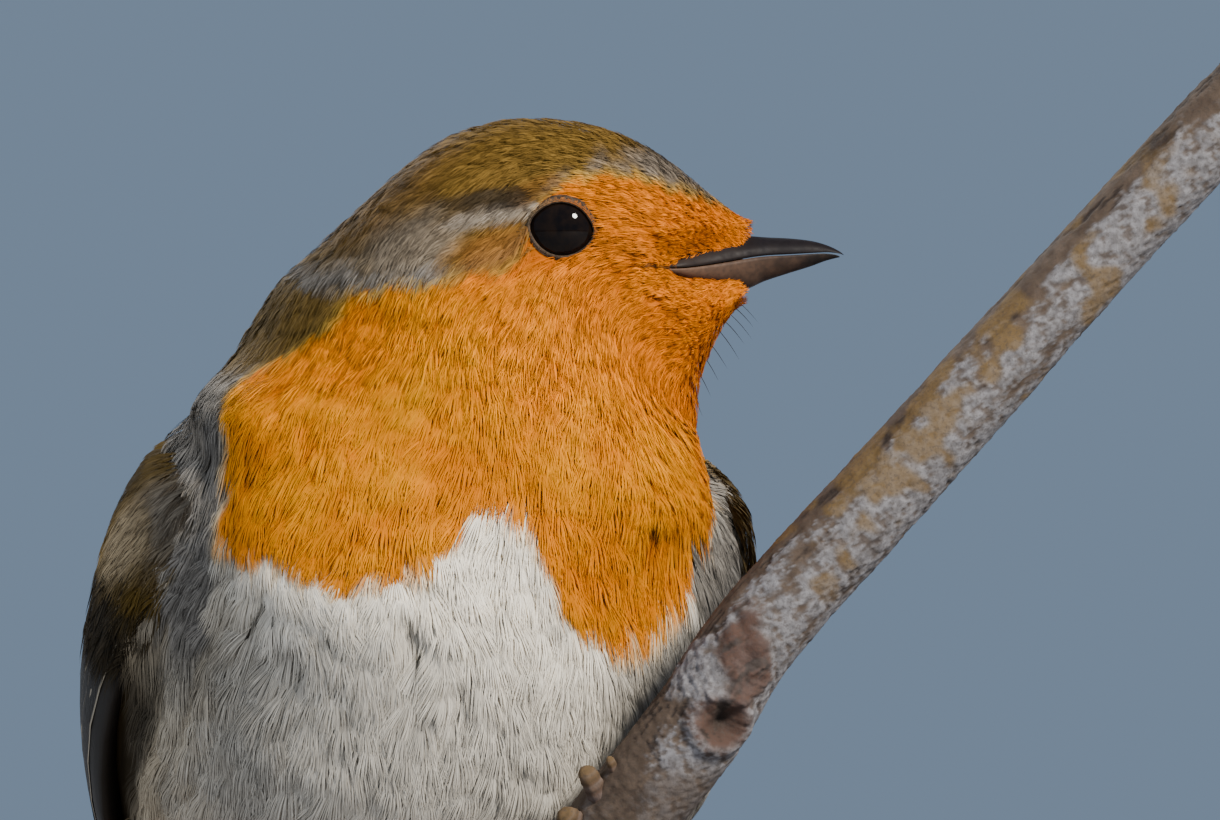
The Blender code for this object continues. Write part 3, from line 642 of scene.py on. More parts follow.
# Station, and the degrees by which body feathers overlap the right and the left wing's edge.
WING_TUCK = ((10.4, 14.0, -2.0), (10.9, 9.0, -4.0), (11.3, 0.0, -3.0), (11.8, -4.0, -4.0),
             (13.5, -4.0, -4.0), (15.0, -2.0, -2.0))
PIECE_TRIANGLES = 180000               # most triangles that one piece of the coat may have
TRIES = 5                              # roots tried for each that fits
ROOT_CELL = 2.0 * MM                   # roots are sorted into cubes of this size
ROOT_ROOM = 0.72                       # share of the spacing that two roots keep at least
SURFACE_SHARE = 0.90                   # how far a barb is shaded like the body under it
LOCK = 4                               # barbs of a feather that share their tone
BARB_TAPER = ((0.0, 0.6), (0.3, 1.0), (0.7, 0.7), (1.0, 0.0))    # share of its length, of its width
EYE_OPEN = (2.50, 2.30)                # mm, half length and height of the part kept clear


def read_grid(grid, row, column):
    """Values of a grid between its rows and round its columns."""
    row = np.clip(row, 0.0, BODY_ROWS - 1.001)
    column = column % BODY_COLUMNS
    i, j = row.astype(int), column.astype(int) % BODY_COLUMNS
    u, v = (row - i)[..., None], (column - np.floor(column))[..., None]
    k = (j + 1) % BODY_COLUMNS
    return ((grid[i, j] * (1 - v) + grid[i, k] * v) * (1 - u)
            + (grid[i + 1, j] * (1 - v) + grid[i + 1, k] * v) * u)


def at_station(values, row):
    """A list of sizes, one for each row of the lines, read at places in the grid."""
    return through(values, np.interp(row, np.arange(BODY_ROWS), STATION))[:, 0]


def covered_by_wing(row, column):
    """True where a folded wing hides the body."""
    station = np.interp(row, np.arange(BODY_ROWS), STATION)
    turn = column * 360.0 / BODY_COLUMNS
    on_right = (turn > 90.0) & (turn < 270.0)
    back = np.where(on_right, 180.0 - turn, (turn + 180.0) % 360.0 - 180.0)
    tuck = np.where(on_right, *(np.interp(station, *np.transpose(WING_TUCK)[[0, n]]) for n in (1, 2)))
    low = np.interp(station, *np.transpose(WING_LOW)) + tuck
    high = np.interp(station, *np.transpose(WING_HIGH)) - tuck
    return (station > np.where(on_right, *WING_FIRST)) & (back > low) & (back < high)


def near_eye(points):
    """True at points that would hide part of an eye."""
    hidden = np.zeros(points.shape[:-1], bool)
    for name in ("eye_left", "eye_right"):
        low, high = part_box(name)
        across, _, up = np.moveaxis((points - np.array((low + high) / 2)) / MM, -1, 0)
        beside = (points[..., 1] - HEAD_PLANE_Y) * ((low.y + high.y) / 2 - HEAD_PLANE_Y) > 0.0
        hidden |= beside & (np.hypot(across / EYE_OPEN[0], up / EYE_OPEN[1]) < 1.0)
    return hidden


def feather_roots(low, high):
    """Rows and columns of feather roots between two stations, evenly strewn on the skin."""
    first, last = np.interp((low, high), STATION, np.arange(BODY_ROWS))
    cell = (np.linalg.norm(np.gradient(skin_grid, axis=0), axis=-1)
            * np.linalg.norm(np.roll(skin_grid, -1, axis=1) - skin_grid, axis=-1))
    rows = np.arange(BODY_ROWS)
    gap = at_station(COAT_SPACING, rows) * MM
    weight = cell / gap[:, None] ** 2
    weight[(rows < first - 1) | (rows > last)] = 0.0
    tries = int(weight.sum() * TRIES)
    picked = RANDOM.choice(weight.size, tries, p=(weight / weight.sum()).ravel())
    row = picked // BODY_COLUMNS + RANDOM.random(tries)
    column = picked % BODY_COLUMNS + RANDOM.random(tries)
    keep = (row >= first) & (row <= last) & ~covered_by_wing(row, column)
    row, column = row[keep], column[keep]
    points = read_grid(skin_grid, row, column)
    near = near_eye(points) | (in_gape(points) > 0.0)
    row, column, points = row[~near], column[~near], points[~near]
    spacing = at_station(COAT_SPACING, row) * MM
    # A root is kept if no root kept before it, in its cube or the ones around, lies too near.
    cells, kept = {}, []
    for n, (point, room) in enumerate(zip(points, spacing)):
        home = tuple((point // ROOT_CELL).astype(int))
        near = [m for dx in (-1, 0, 1) for dy in (-1, 0, 1) for dz in (-1, 0, 1)
                for m in cells.get((home[0] + dx, home[1] + dy, home[2] + dz), ())]
        if all(((points[m] - point) ** 2).sum() > (room * ROOT_ROOM) ** 2 for m in near):
            cells.setdefault(home, []).append(n)
            kept.append(n)
    return row[kept], column[kept]


def ribbons(paths, normals, widths, roll):
    """Flat tapered ribbons along paths: points, point normals and triangles."""
    count, joints = paths.shape[:2]
    ahead = unit(np.gradient(paths, axis=1))
    across = unit(np.cross(normals, ahead))
    lift = unit(np.cross(ahead, across))
    tilt = roll[:, None, None]
    side = across * np.cos(tilt) + lift * np.sin(tilt)
    taper = np.interp(np.arange(joints) / (joints - 1), *np.transpose(BARB_TAPER))
    half = side * (widths[:, None, None] * taper[None, :, None] / 2)
    left, right = paths - half, paths + half
    body = np.stack((left[:, :-1], right[:, :-1]), axis=2).reshape(count, -1, 3)
    points = np.concatenate((body, paths[:, -1:]), axis=1)
    face_normals = unit(np.cross(ahead, side))
    face_normals *= np.sign((face_normals * normals).sum(-1, keepdims=True))
    soft = unit(normals * SURFACE_SHARE + face_normals * (1.0 - SURFACE_SHARE))
    body_normals = np.repeat(soft[:, :-1], 2, axis=1)
    point_normals = np.concatenate((body_normals, soft[:, -1:]), axis=1)
    triangles = []
    for n in range(joints - 2):
        a, b, c, d = 2 * n, 2 * n + 1, 2 * n + 2, 2 * n + 3
        triangles += [(a, b, d), (a, d, c)]
    triangles.append((2 * joints - 4, 2 * joints - 3, 2 * joints - 2))
    pattern = np.array(triangles)[:, ::-1]
    each = 2 * joints - 1
    faces = (pattern[None] + (np.arange(count) * each)[:, None, None]).reshape(-1, 3)
    return points.reshape(-1, 3), point_normals.reshape(-1, 3), faces, each


def triangle_mesh(name, points, faces, normals=None):
    """A mesh of triangles made from arrays."""
    mesh = bpy.data.meshes.new(name)
    mesh.vertices.add(len(points))
    mesh.vertices.foreach_set("co", np.ascontiguousarray(points, np.float32).ravel())
    mesh.loops.add(faces.size)
    mesh.loops.foreach_set("vertex_index", np.ascontiguousarray(faces, np.int32).ravel())
    mesh.polygons.add(len(faces))
    mesh.polygons.foreach_set("loop_start", np.arange(0, faces.size, 3, dtype=np.int32))
    mesh.update(calc_edges=True)
    mesh.shade_smooth()
    if normals is not None:
        mesh.normals_split_custom_set_from_vertices(normals.tolist())
    return mesh


def bake_map(mesh, corner_uv):
    """The map that the finish is baked on: one pair of numbers for each face corner."""
    layer = mesh.uv_layers.new(name="OFBake")
    layer.data.foreach_set("uv", np.ascontiguousarray(corner_uv, np.float32).ravel())


def bowed(root, bend, end, joints):
    """Steps from a root to an end, drawn towards a bend between them."""
    t = np.linspace(0.0, 1.0, joints)[None, None]
    return (1 - t) ** 2 * root[..., None] + 2 * t * (1 - t) * bend[..., None] + t * t * end[..., None]


def barb_shape(length, half, lean, barbs, joints):
    """Barbs in the plane of their feather: metres along and aside, and both as shares of it."""
    count = len(length)
    share = (np.arange(barbs) + 0.5) / barbs + RANDOM.normal(0.0, 0.015, (count, barbs))
    share = np.clip(share, 0.0, 1.0)
    side = np.where(np.arange(barbs) % 2, 1.0, -1.0)[None]
    quarter = share * math.pi / 2
    root_x = length[:, None] * 0.62 * share
    end_x = length[:, None] * (0.40 + 0.60 * np.sin(quarter) + RANDOM.normal(0, 0.085, share.shape))
    end_y = side * half[:, None] * np.cos(quarter) ** 0.75 + RANDOM.normal(0, 0.05 * MM, share.shape)
    x = bowed(root_x, root_x + 0.40 * (end_x - root_x), end_x, joints)
    y = bowed(0.20 * end_y, 0.78 * end_y, end_y, joints)
    lean = lean[:, None, None]
    return (x * np.cos(lean) - y * np.sin(lean), x * np.sin(lean) + y * np.cos(lean),
            x / length[:, None, None], y / half[:, None, None])


def over_tail(points, normals, past):
    """Points that have run on past the body by a distance, laid down over the tail's root."""
    out = points - np.array(TRUNK_CENTRE)
    side, along, back = out @ LEFT, out @ HEADWARD, out @ BACKWARD - TAIL_RISE * MM
    spread = np.exp(-past / (TAIL_WRAP[0] * MM))
    close = np.exp(-past / (TAIL_WRAP[1] * MM))
    moved = (np.array(TRUNK_CENTRE) + (side * spread)[..., None] * LEFT
             + (along - past)[..., None] * HEADWARD
             + (back * close + TAIL_RISE * MM)[..., None] * BACKWARD)
    flat = np.sign(back)[..., None] * BACKWARD
    turned = unit(normals * close[..., None] + flat * (1.0 - close[..., None]))
    far = past[..., None] > 0.0
    return np.where(far, moved, points), np.where(far, turned, normals)


def coat_paths(row, column, barbs, joints, way):
    """The middle line of every barb of every feather, on the body's curve."""
    count = len(row)
    size = [at_station(values, row) * MM for values in (COAT_LENGTH, COAT_WIDTH)]
    length, half = (values * RANDOM.uniform(0.85, 1.15, count) for values in size)
    x, y, z = read_grid(coat_top, row, column).T / MM
    swirl = 0.16 * np.sin(0.50 * x + 0.30 * z) + 0.12 * np.sin(0.45 * z - 0.38 * y + 1.7)
    turn = RANDOM.normal(0.0, 0.09, count) + swirl
    along, aside, reach, beside = barb_shape(length, half, turn, barbs, joints)
    step_row = np.linalg.norm(read_grid(grid_row_step, row, column), axis=1)[:, None, None]
    step_column = np.linalg.norm(read_grid(grid_column_step, row, column), axis=1)[:, None, None]
    at_row = row[:, None, None] + way * along / np.maximum(step_row, 0.12 * MM)
    at_column = column[:, None, None] + aside / np.maximum(step_column, 0.05 * MM)
    depth = read_grid(depth_grid, at_row, at_column)[..., 0]
    lift = RANDOM.uniform(0.82, 1.0, count)[:, None, None] * np.minimum(1.0, 0.25 + 1.05 * reach)
    jitter = RANDOM.normal(0.0, 0.025 * MM, (count, barbs, 1)) * reach
    height = depth * (lift - 0.07 * beside ** 2) + jitter
    normal = read_grid(top_normals, at_row, at_column)
    point = read_grid(coat_top, at_row, at_column) + normal * (height - depth)[..., None]
    point += np.minimum(at_row, 0.0)[..., None] * read_grid(grid_row_step, at_row, at_column)
    past = np.maximum(at_row - (BODY_ROWS - 1.5), 0.0) * step_row
    point, normal = over_tail(point, normal, past)
    shown = [0.6 * at[..., -1] + 0.4 * at[..., -1].mean(axis=1, keepdims=True)
             for at in (at_row, at_column)]
    return point, normal, reach, shown


grid_row_step = np.gradient(coat_top, axis=0)
grid_column_step = (np.roll(coat_top, -1, axis=1) - np.roll(coat_top, 1, axis=1)) / 2
depth_grid = np.repeat(coat_depth[:, None, :], BODY_COLUMNS, axis=1)
OFBAKE_PATCH = 0.003                   # side of a feather's patch on the map of the finish


def barb_piece(name, paths, normals, reach, unwrap, widths, marks, tone):
    """One joined mesh of barbs: each barb's path, normals, reach, place on the map and marks."""
    strands, joints = reach.shape
    roll = np.clip(RANDOM.normal(0.0, 0.26, strands), -0.8, 0.8)
    points, point_normals, faces, each = ribbons(paths, normals, widths, roll)
    mesh = triangle_mesh(name, points, faces, point_normals)
    for mark in MARKS:
        store(mesh, mark, np.repeat(marks.get(mark, np.zeros(strands)), each))
    store(mesh, "tone", np.repeat(np.clip(tone, 0.0, 1.0), each))
    store(mesh, "reach", np.concatenate((np.repeat(reach[:, :-1], 2, axis=1), reach[:, -1:]), axis=1))
    steps = np.repeat(np.arange(joints - 1), 2) / (joints - 1)
    local = np.concatenate((np.stack((np.tile((0.0, 1.0), joints - 1), steps), 1), ((0.5, 1.0),)))
    patch = unwrap[:, None] + (local[None] - 0.5) * OFBAKE_PATCH
    bake_map(mesh, np.clip(patch.reshape(-1, 2), 0.0, 1.0)[faces.ravel()])
    mesh.materials.append(feather_barbs)
    made = placed(name, mesh)
    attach(made, "root")
    return made


def coat_piece(name, row, column, unwrap, barbs, joints, way):
    """One joined mesh of body feathers."""
    point, normal, reach, shown = coat_paths(row, column, barbs, joints, way)
    seen = ~near_eye(point).any(axis=-1).ravel()
    feather = np.repeat(np.arange(len(row)), barbs)[seen]
    shown_row, shown_column = (at.ravel()[seen] for at in shown)
    station = np.interp(shown_row, np.arange(BODY_ROWS), STATION)
    turn = (shown_column * 360.0 / BODY_COLUMNS + 180.0) % 360.0 - 180.0
    marks = body_marks(read_grid(coat_top, shown_row, shown_column), station, turn)
    widths = at_station(BARB_WIDTH, row)[feather] * MM * RANDOM.uniform(0.75, 1.2, len(feather))
    streak = 0.08 + 0.22 * np.maximum(marks["olive"], marks["grey"])
    locks = RANDOM.normal(0.0, 1.0, (len(row), math.ceil(barbs / LOCK)))
    locks = np.repeat(locks, LOCK, axis=1)[:, :barbs].ravel()[seen]
    single = RANDOM.normal(0.0, 0.06, len(row))[feather]
    single = single + RANDOM.normal(0.0, 0.5, len(feather)) * streak
    tone = 0.5 + single + 0.85 * locks * streak
    made = barb_piece(name, point.reshape(-1, joints, 3)[seen], normal.reshape(-1, joints, 3)[seen],
                      reach.reshape(-1, joints)[seen], unwrap[feather], widths, marks, tone)


def clothe(name, low, high, barbs, joints, way):
    """The coat between two stations, in as many like pieces as its triangles need."""
    row, column = feather_roots(low, high)
    first, last = np.interp((low, high), STATION, np.arange(BODY_ROWS))
    unwrap = 0.005 + 0.99 * np.stack((column / BODY_COLUMNS, (row - first) / (last - first)), axis=1)
    triangles = len(row) * barbs * (2 * joints - 3)
    parts = math.ceil(triangles / PIECE_TRIANGLES)
    for part in range(parts):
        pick = slice(part, None, parts)
        coat_piece(f"{name}_{part + 1}", row[pick], column[pick], unwrap[pick], barbs, joints, way)


for coat_name, coat_sizes in COAT.items():
    clothe(coat_name, *coat_sizes)

# ============================================================ vanes
# Flight and tail feathers: stiff flat vanes on a central shaft, darker than the body, with
# fine oblique barbs and a thin pale edge on the outer web.
VANE_RINGS = 18                        # points along a vane
VANE_SIDES = 9                         # points across it, an odd number for the shaft
VANE_ROWS = 95.0                       # rows of barbs along a vane
VANE_SLANT = 7.0                       # rows by which they run back towards the edge


def relief(tree, shader, height, strength, depth):
    """Fine relief of a finish from a height, its strength and its depth in metres."""
    bump = tree.nodes.new("ShaderNodeBump")
    bump.inputs["Strength"].default_value = strength
    bump.inputs["Distance"].default_value = depth
    tree.links.new(height, bump.inputs["Height"])
    tree.links.new(bump.outputs["Normal"], shader.inputs["Normal"])


def vane_material(name, web, edge, edge_width):
    """A feather vane with oblique barbs, a paler shaft and a pale outer edge."""
    made, shader = plain_material(name, web, 0.52)
    shader.inputs["Specular IOR Level"].default_value = 0.35
    tree = made.node_tree
    across, along, tone = (mark_value(tree, mark) for mark in ("across", "along", "tone"))
    sideways = maths(tree, "ABSOLUTE", across)
    rows = maths(tree, "SUBTRACT", maths(tree, "MULTIPLY", along, VANE_ROWS),
                 maths(tree, "MULTIPLY", sideways, VANE_SLANT))
    rows = maths(tree, "ADD", rows, maths(tree, "MULTIPLY", noise(tree, 900.0), 1.2))
    barbs = maths(tree, "SINE", maths(tree, "MULTIPLY", rows, 2 * math.pi))
    edge_share = ranged(tree, across, edge_width - 1.0, 2.2 * edge_width - 1.0, 1.0, 0.0)
    shaft = ranged(tree, sideways, 0.05, 0.10, 1.0, 0.0)
    colour = mottled(tree, 300.0, 0.3, 0.7, 0.6, web, tuple(channel * 0.62 for channel in web))
    colour = mixed(tree, maths(tree, "MULTIPLY", shaft, 0.10), colour, edge)
    colour = mixed(tree, edge_share, colour, edge)
    shade = maths(tree, "MULTIPLY", ranged(tree, barbs, -1.0, 1.0, 0.90, 1.07),
                  ranged(tree, tone, 0.0, 1.0, 0.78, 1.2))
    tree.links.new(shaded(tree, colour, shade), shader.inputs["Base Color"])
    relief(tree, shader, barbs, 0.5, 0.05 * MM)
    return made


def vane_outline(t, tip):
    """Share of a vane's half width at t along it: narrow at the root, rounded at the tip."""
    root = smooth(0.0, 0.22, t) * 0.75 + 0.25
    end = np.sqrt(np.clip(1.0 - ((t - (1.0 - tip)) / tip).clip(0.0) ** 2, 0.0, 1.0))
    return root * np.maximum(end, 0.02)


def vane_block(surface, root, tip, half_width, height, rounding, tone):
    """One vane on a surface: its points, its marks and its triangles.

    A surface turns a place along it, and mm aside and up, into points; a vane's root and tip
    are pairs of place and aside.
    """
    t = np.linspace(0.0, 1.0, VANE_RINGS)[:, None]
    v = np.linspace(-1.0, 1.0, VANE_SIDES)[None]
    width = half_width * vane_outline(t, rounding)
    place = root[0] + (tip[0] - root[0]) * t + 0.0 * v
    aside = root[1] + (tip[1] - root[1]) * t + v * width
    arch = height - 0.05 * half_width * v ** 2 + 0.06 * np.exp(-(v / 0.12) ** 2)
    points = surface(place, aside, arch + 0.0 * t)
    i, j = np.meshgrid(np.arange(VANE_RINGS - 1), np.arange(VANE_SIDES - 1), indexing="ij")
    a = i * VANE_SIDES + j
    quads = np.stack((a, a + 1, a + VANE_SIDES + 1, a, a + VANE_SIDES + 1, a + VANE_SIDES), -1)
    marks = {"across": (v + 0.0 * t).ravel(), "along": (t + 0.0 * v).ravel(),
             "tone": np.full(t.size * v.size, tone)}
    return points.reshape(-1, 3), marks, quads.reshape(-1, 3)


def join_blocks(name, blocks, finish, slot, *nodes):
    """Blocks of points, marks and triangles as one piece of the model."""
    start, faces = 0, []
    for points, _, triangles in blocks:
        faces.append(triangles + start)
        start += len(points)
    points = np.concatenate([block[0] for block in blocks])
    mesh = triangle_mesh(name, points, np.concatenate(faces))
    for mark in blocks[0][1]:
        store(mesh, mark, np.concatenate([block[1][mark] for block in blocks]))
    mesh.materials.append(finish)
    made = placed(name, mesh)
    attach(made, "root")
    if nodes:
        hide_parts(*nodes)


def on_bird(side, along, back):
    """Points from their distances, in mm, to the left, to the head and to the back."""
    return (np.array(TRUNK_CENTRE) + (side[..., None] * LEFT + along[..., None] * HEADWARD
                                      + back[..., None] * BACKWARD) * MM)


# ============================================================ wings
# Folded wings, tucked under the feathers of the flank. Small soft coverts lie over the wrist,
# then three tertials next to the back, and the long dark flight feathers down to the rump.
WING_ROWS = (                          # along, ellipse half width and depth, rise, edges, thickness
    (14.5, 22.9, 19.4, 0.4, -6.0, 26.0, 0.6),
    (11.0, 24.6, 20.2, 0.5, -11.0, 40.0, 1.7),
    (3.0, 26.3, 20.9, 0.6, -8.0, 54.0, 2.1),
    (-9.0, 26.4, 20.4, 1.6, -2.0, 66.0, 1.9),
    (-21.0, 23.6, 17.8, 3.4, 4.0, 74.0, 1.6),
    (-33.0, 18.4, 13.6, 5.4, 10.0, 76.0, 1.2),
    (-44.0, 13.2, 9.0, 7.0, 18.0, 66.0, 0.9),
    (-53.0, 10.4, 6.6, 7.8, 24.0, 54.0, 0.7),
    (-59.0, 9.0, 5.4, 8.2, 34.0, 46.0, 0.4),
)
# Vanes, from the lowest layer up: place and q of the first and the last root, and of the first
# and the last tip. q runs from -1 at the wing's lower edge to 1 at the back.
WING_GROUPS = (                        # finish, how many, roots, tips, mm half width, mm high
    ("flight", 8, (1.6, -0.93), (3.0, 0.30), (7.95, -0.5), (5.3, 0.05), 2.5, -0.05),
    ("flight", 6, (2.0, 0.92), (2.2, 0.30), (5.8, 0.86), (7.3, -0.10), 2.7, -0.10),
    ("flight", 6, (1.8, -0.35), (2.6, 0.55), (5.0, -0.55), (4.6, 0.30), 3.2, 0.10),
    ("tertial", 3, (2.0, 0.45), (1.9, 0.80), (4.75, 0.35), (3.7, 0.80), 4.2, 0.28),
)
WING_FINISHES = {
    "flight": vane_material("flight_vane", (0.024, 0.019, 0.014), (0.42, 0.35, 0.25), 0.06),
    "tertial": vane_material("tertial_vane", (0.080, 0.050, 0.021), (0.21, 0.140, 0.06), 0.045),
}
FLIGHT_ROUNDING = 0.22                 # share of a flight feather's length in its rounded tip
TERTIAL_ROUNDING = 0.35
BED_DROP = -0.25                       # mm, the flesh of the wing lies this far under its surface
COVERT_ROWS = (                        # place, count, mm long, mm half width
    (2.15, 26, 7.2, 1.7), (1.75, 26, 6.4, 1.6), (1.42, 28, 5.6, 1.5), (1.12, 28, 5.0, 1.4),
    (0.85, 26, 4.6, 1.3), (0.55, 24, 4.2, 1.2), (0.25, 20, 3.8, 1.1), (-0.05, 16, 3.4, 1.0),
)
COVERT_BARBS = (34, 4)                 # barbs a feather, joints a barb
COVERT_LIFT = (0.30, 0.95)             # mm over the wing at the first row and the last
COVERT_REACH = (-0.4, 5.0)             # places between which coverts may lie


def wing_surface(side):
    """A function that places points on one folded wing, from the row, an angle and a height."""
    def surface(place, aside, height):
        shape = np.broadcast(place, aside).shape
        rows = through(WING_ROWS, np.broadcast_to(place, shape).ravel())
        along, wide, deep, rise, low, high, thick = (column.reshape(shape) for column in rows.T)
        middle, half = np.radians((low + high) / 2), np.radians((high - low) / 2)
        girth = (wide + deep) / 2
        q = np.clip(aside / (half * girth), -1.15, 1.15)
        proud = thick * np.sqrt(np.clip(1.0 - q * q, 0.0, 1.0)) + height
        at = middle + half * q
        return on_bird(side * (wide + proud) * np.cos(at), along, rise + (deep + proud) * np.sin(at))
    return surface


def wing_q(place, q):
    """A distance aside in mm from a share q of the wing's half width at a place."""
    _, wide, deep, _, low, high, _ = through(WING_ROWS, [place])[0]
    return q * math.radians((high - low) / 2) * (wide + deep) / 2


def ring_triangles(rings, sides):
    """Triangles between rings of points that each close on themselves."""
    i, j = np.meshgrid(np.arange(rings - 1), np.arange(sides), indexing="ij")
    a, b = i * sides + j, i * sides + (j + 1) % sides
    return np.stack((a, b, b + sides, a, b + sides, a + sides), -1).reshape(-1, 3)


def wing_bed(surface):
    """The wing under its vanes: a lens, as points, marks and triangles."""
    rings, sides = 24, 20
    place = np.linspace(0.0, len(WING_ROWS) - 1, rings)[:, None]
    turn = np.linspace(0.0, 2 * math.pi, sides, endpoint=False)[None]
    reach = np.array([wing_q(p, 1.0) for p in place[:, 0]])[:, None]
    # Its outside follows the wing's surface, and its inside lies two thicknesses deeper.
    outer = np.where(np.sin(turn) >= 0.0, 0.0, -2.0)
    rows = through(WING_ROWS, place[:, 0])[:, 6][:, None]
    points = surface(place + 0 * turn, reach * np.cos(turn) * 0.96,
                     outer * rows * np.abs(np.sin(turn)) + BED_DROP)
    return points.reshape(-1, 3), {}, ring_triangles(rings, sides)


def coverts(name, side):
    """The soft small feathers over the wrist, row over row down to the long coverts."""
    surface = wing_surface(side)
    barbs, joints = COVERT_BARBS
    fine = np.linspace(*COVERT_REACH, 400)
    middle = surface(fine, 0.0 * fine, 0.0 * fine)
    run = np.concatenate(([0.0], np.cumsum(np.linalg.norm(np.diff(middle, axis=0), axis=1))))
    places = np.linspace(*COVERT_REACH, 60)
    width = np.array([wing_q(place, 1.0) for place in places])
    greyness = 0.65 if side < 0 else 0.2
    parts = []
    for number, (place, count, length, half) in enumerate(COVERT_ROWS):
        q = np.linspace(-1.02, 0.98, count) + RANDOM.normal(0.0, 0.02, count)
        start = np.interp(place, fine, run) + RANDOM.normal(0.0, 0.35 * MM, count)
        lean = 0.10 * side * q + RANDOM.normal(0.0, 0.10, count)
        size = RANDOM.uniform(0.88, 1.12, count)
        along, aside, reach, beside = barb_shape(length * MM * size, half * MM * size, lean,
                                                 barbs, joints)
        at = np.interp(start[:, None, None] + along, run, fine)
        spread = np.interp(at, places, width)
        side_place = q[:, None, None] * spread + aside / MM
        share = number / (len(COVERT_ROWS) - 1)
        lift = COVERT_LIFT[0] + (COVERT_LIFT[1] - COVERT_LIFT[0]) * share
        height = lift * np.minimum(1.0, 0.3 + reach) - 0.12 * beside ** 2
        height = height + RANDOM.normal(0, 0.03, (count, barbs, 1))
        points = surface(at, side_place, height)
        normals = unit(surface(at, side_place, height + 0.4) - points)
        shown = side_place[..., -1] / spread[..., -1]
        row = at[..., -1]
        # Grey at the wing's front, a buff patch below the wrist, and darker long coverts.
        front = smooth(0.1, -0.6, shown) * smooth(2.0, 1.0, row)
        buff = smooth(1.0, 0.45, np.hypot((row - 1.55) / 0.75, (shown + 0.45) / 0.42))
        long = 0.9 * smooth(1.95, 2.35, row)
        upper = 0.75 * smooth(-0.15, 0.15, shown) * smooth(0.95, 0.5, shown) * smooth(0.3, 1.2, row)
        marks = {"olive": np.ones(shown.shape), "buff": buff,
                 "pale": np.maximum(0.22 * front * (side < 0), 0.4 * buff),
                 "grey": greyness * front * (1.0 - buff),
                 "dark": np.maximum(long * smooth(0.3, -0.2, shown), upper)}
        flat = (count * barbs, joints)
        unwrap = np.stack((q * 0.45 + 0.5, np.full(count, 0.1 + 0.8 * share)), 1)
        widths = RANDOM.uniform(0.08, 0.13, flat[0]) * MM
        tone = np.repeat(RANDOM.normal(0.45, 0.08, count), barbs)
        tone = tone + RANDOM.normal(0.0, 0.14, flat[0])
        parts.append((points.reshape(*flat, 3), normals.reshape(*flat, 3), reach.reshape(flat),
                      np.repeat(unwrap, barbs, axis=0), widths, tone,
                      {mark: values.ravel() for mark, values in marks.items()}))
    *joined, tone = [np.concatenate([part[n] for part in parts]) for n in range(6)]
    marks = {mark: np.concatenate([part[6][mark] for part in parts]) for mark in parts[0][6]}
    made = barb_piece(name, *joined, marks, tone)


def wing(name, side):
    """One folded wing, in layers of like feathers."""
    surface = wing_surface(side)
    layers = {finish: [] for finish in WING_FINISHES}
    bed, _ = plain_material(name + "_bed", (0.022, 0.017, 0.012), 0.7)
    join_blocks(name + "_bed", [wing_bed(surface)], bed, "flight_plumage")
    for finish, count, *places, half_width, height in WING_GROUPS:
        rounding = FLIGHT_ROUNDING if finish == "flight" else TERTIAL_ROUNDING
        for n in range(count):
            share = n / (count - 1)
            ends = []
            for first, last in (places[:2], places[2:]):
                place, q = (a + (b - a) * share for a, b in zip(first, last))
                ends.append((place, wing_q(place, q)))
            tone = 0.5 + 0.3 * math.sin(5.1 * n + 2.0 * height)
            layers[finish].append(vane_block(surface, *ends, half_width, height + 0.035 * n,
                                             rounding, tone))
    for finish, blocks in layers.items():
        nodes = [name] if finish == "flight" else []
        join_blocks(f"{name}_{finish}s", blocks, WING_FINISHES[finish], "flight_plumage", *nodes)
    coverts(name + "_coverts", side)


wing("wing_left", 1)
wing("wing_right", -1)

# ============================================================ tail
# Twelve stiff tail feathers in a nearly closed fan, rooted under the feathers of the rump and
# the vent. The middle pair lies on top and is a little longer.
TAIL_ROOT = -36.0                      # mm along the trunk's axis
TAIL_TIP = -86.0
TAIL_POINT = 0.6                       # mm, the middle pair is longer by this
TAIL_PAIRS = 6
TAIL_HALF_WIDTH = 3.1                  # mm, of one feather
TAIL_ROUNDING = 0.07                   # share of its length in its rounded tip


def tail_surface(place, aside, height):
    """Points of the tail's fan: along its axis, aside and over its middle sheet, in mm."""
    flex = 0.008 * (aside / 3.0) ** 2
    return on_bird(aside + 0.0 * place, place + 0.0 * aside, TAIL_RISE + height - flex)


def tail():
    """All tail feathers as one piece, from the outermost pair up to the middle one."""
    blocks = []
    for pair in range(TAIL_PAIRS):
        out = (TAIL_PAIRS - 1 - pair) / (TAIL_PAIRS - 1)
        for side in (-1, 1):
            root = (TAIL_ROOT, side * (0.5 + 2.2 * out))
            tip = (TAIL_TIP - TAIL_POINT * (1.0 - out) ** 1.5, side * (0.9 + 5.4 * out))
            height = -0.75 + 0.22 * pair + 0.06 * (side + 1)
            tone = 0.45 + 0.1 * math.sin(pair * 3.0 + side)
            block = vane_block(tail_surface, root, tip, TAIL_HALF_WIDTH, height, TAIL_ROUNDING, tone)
            block[1]["across"] *= -side
            blocks.append(block)
    finish = vane_material("tail_vane", (0.052, 0.034, 0.016), (0.092, 0.060, 0.027), 0.04)
    join_blocks("tail_feathers", blocks, finish, "flight_plumage", "tail")


tail()

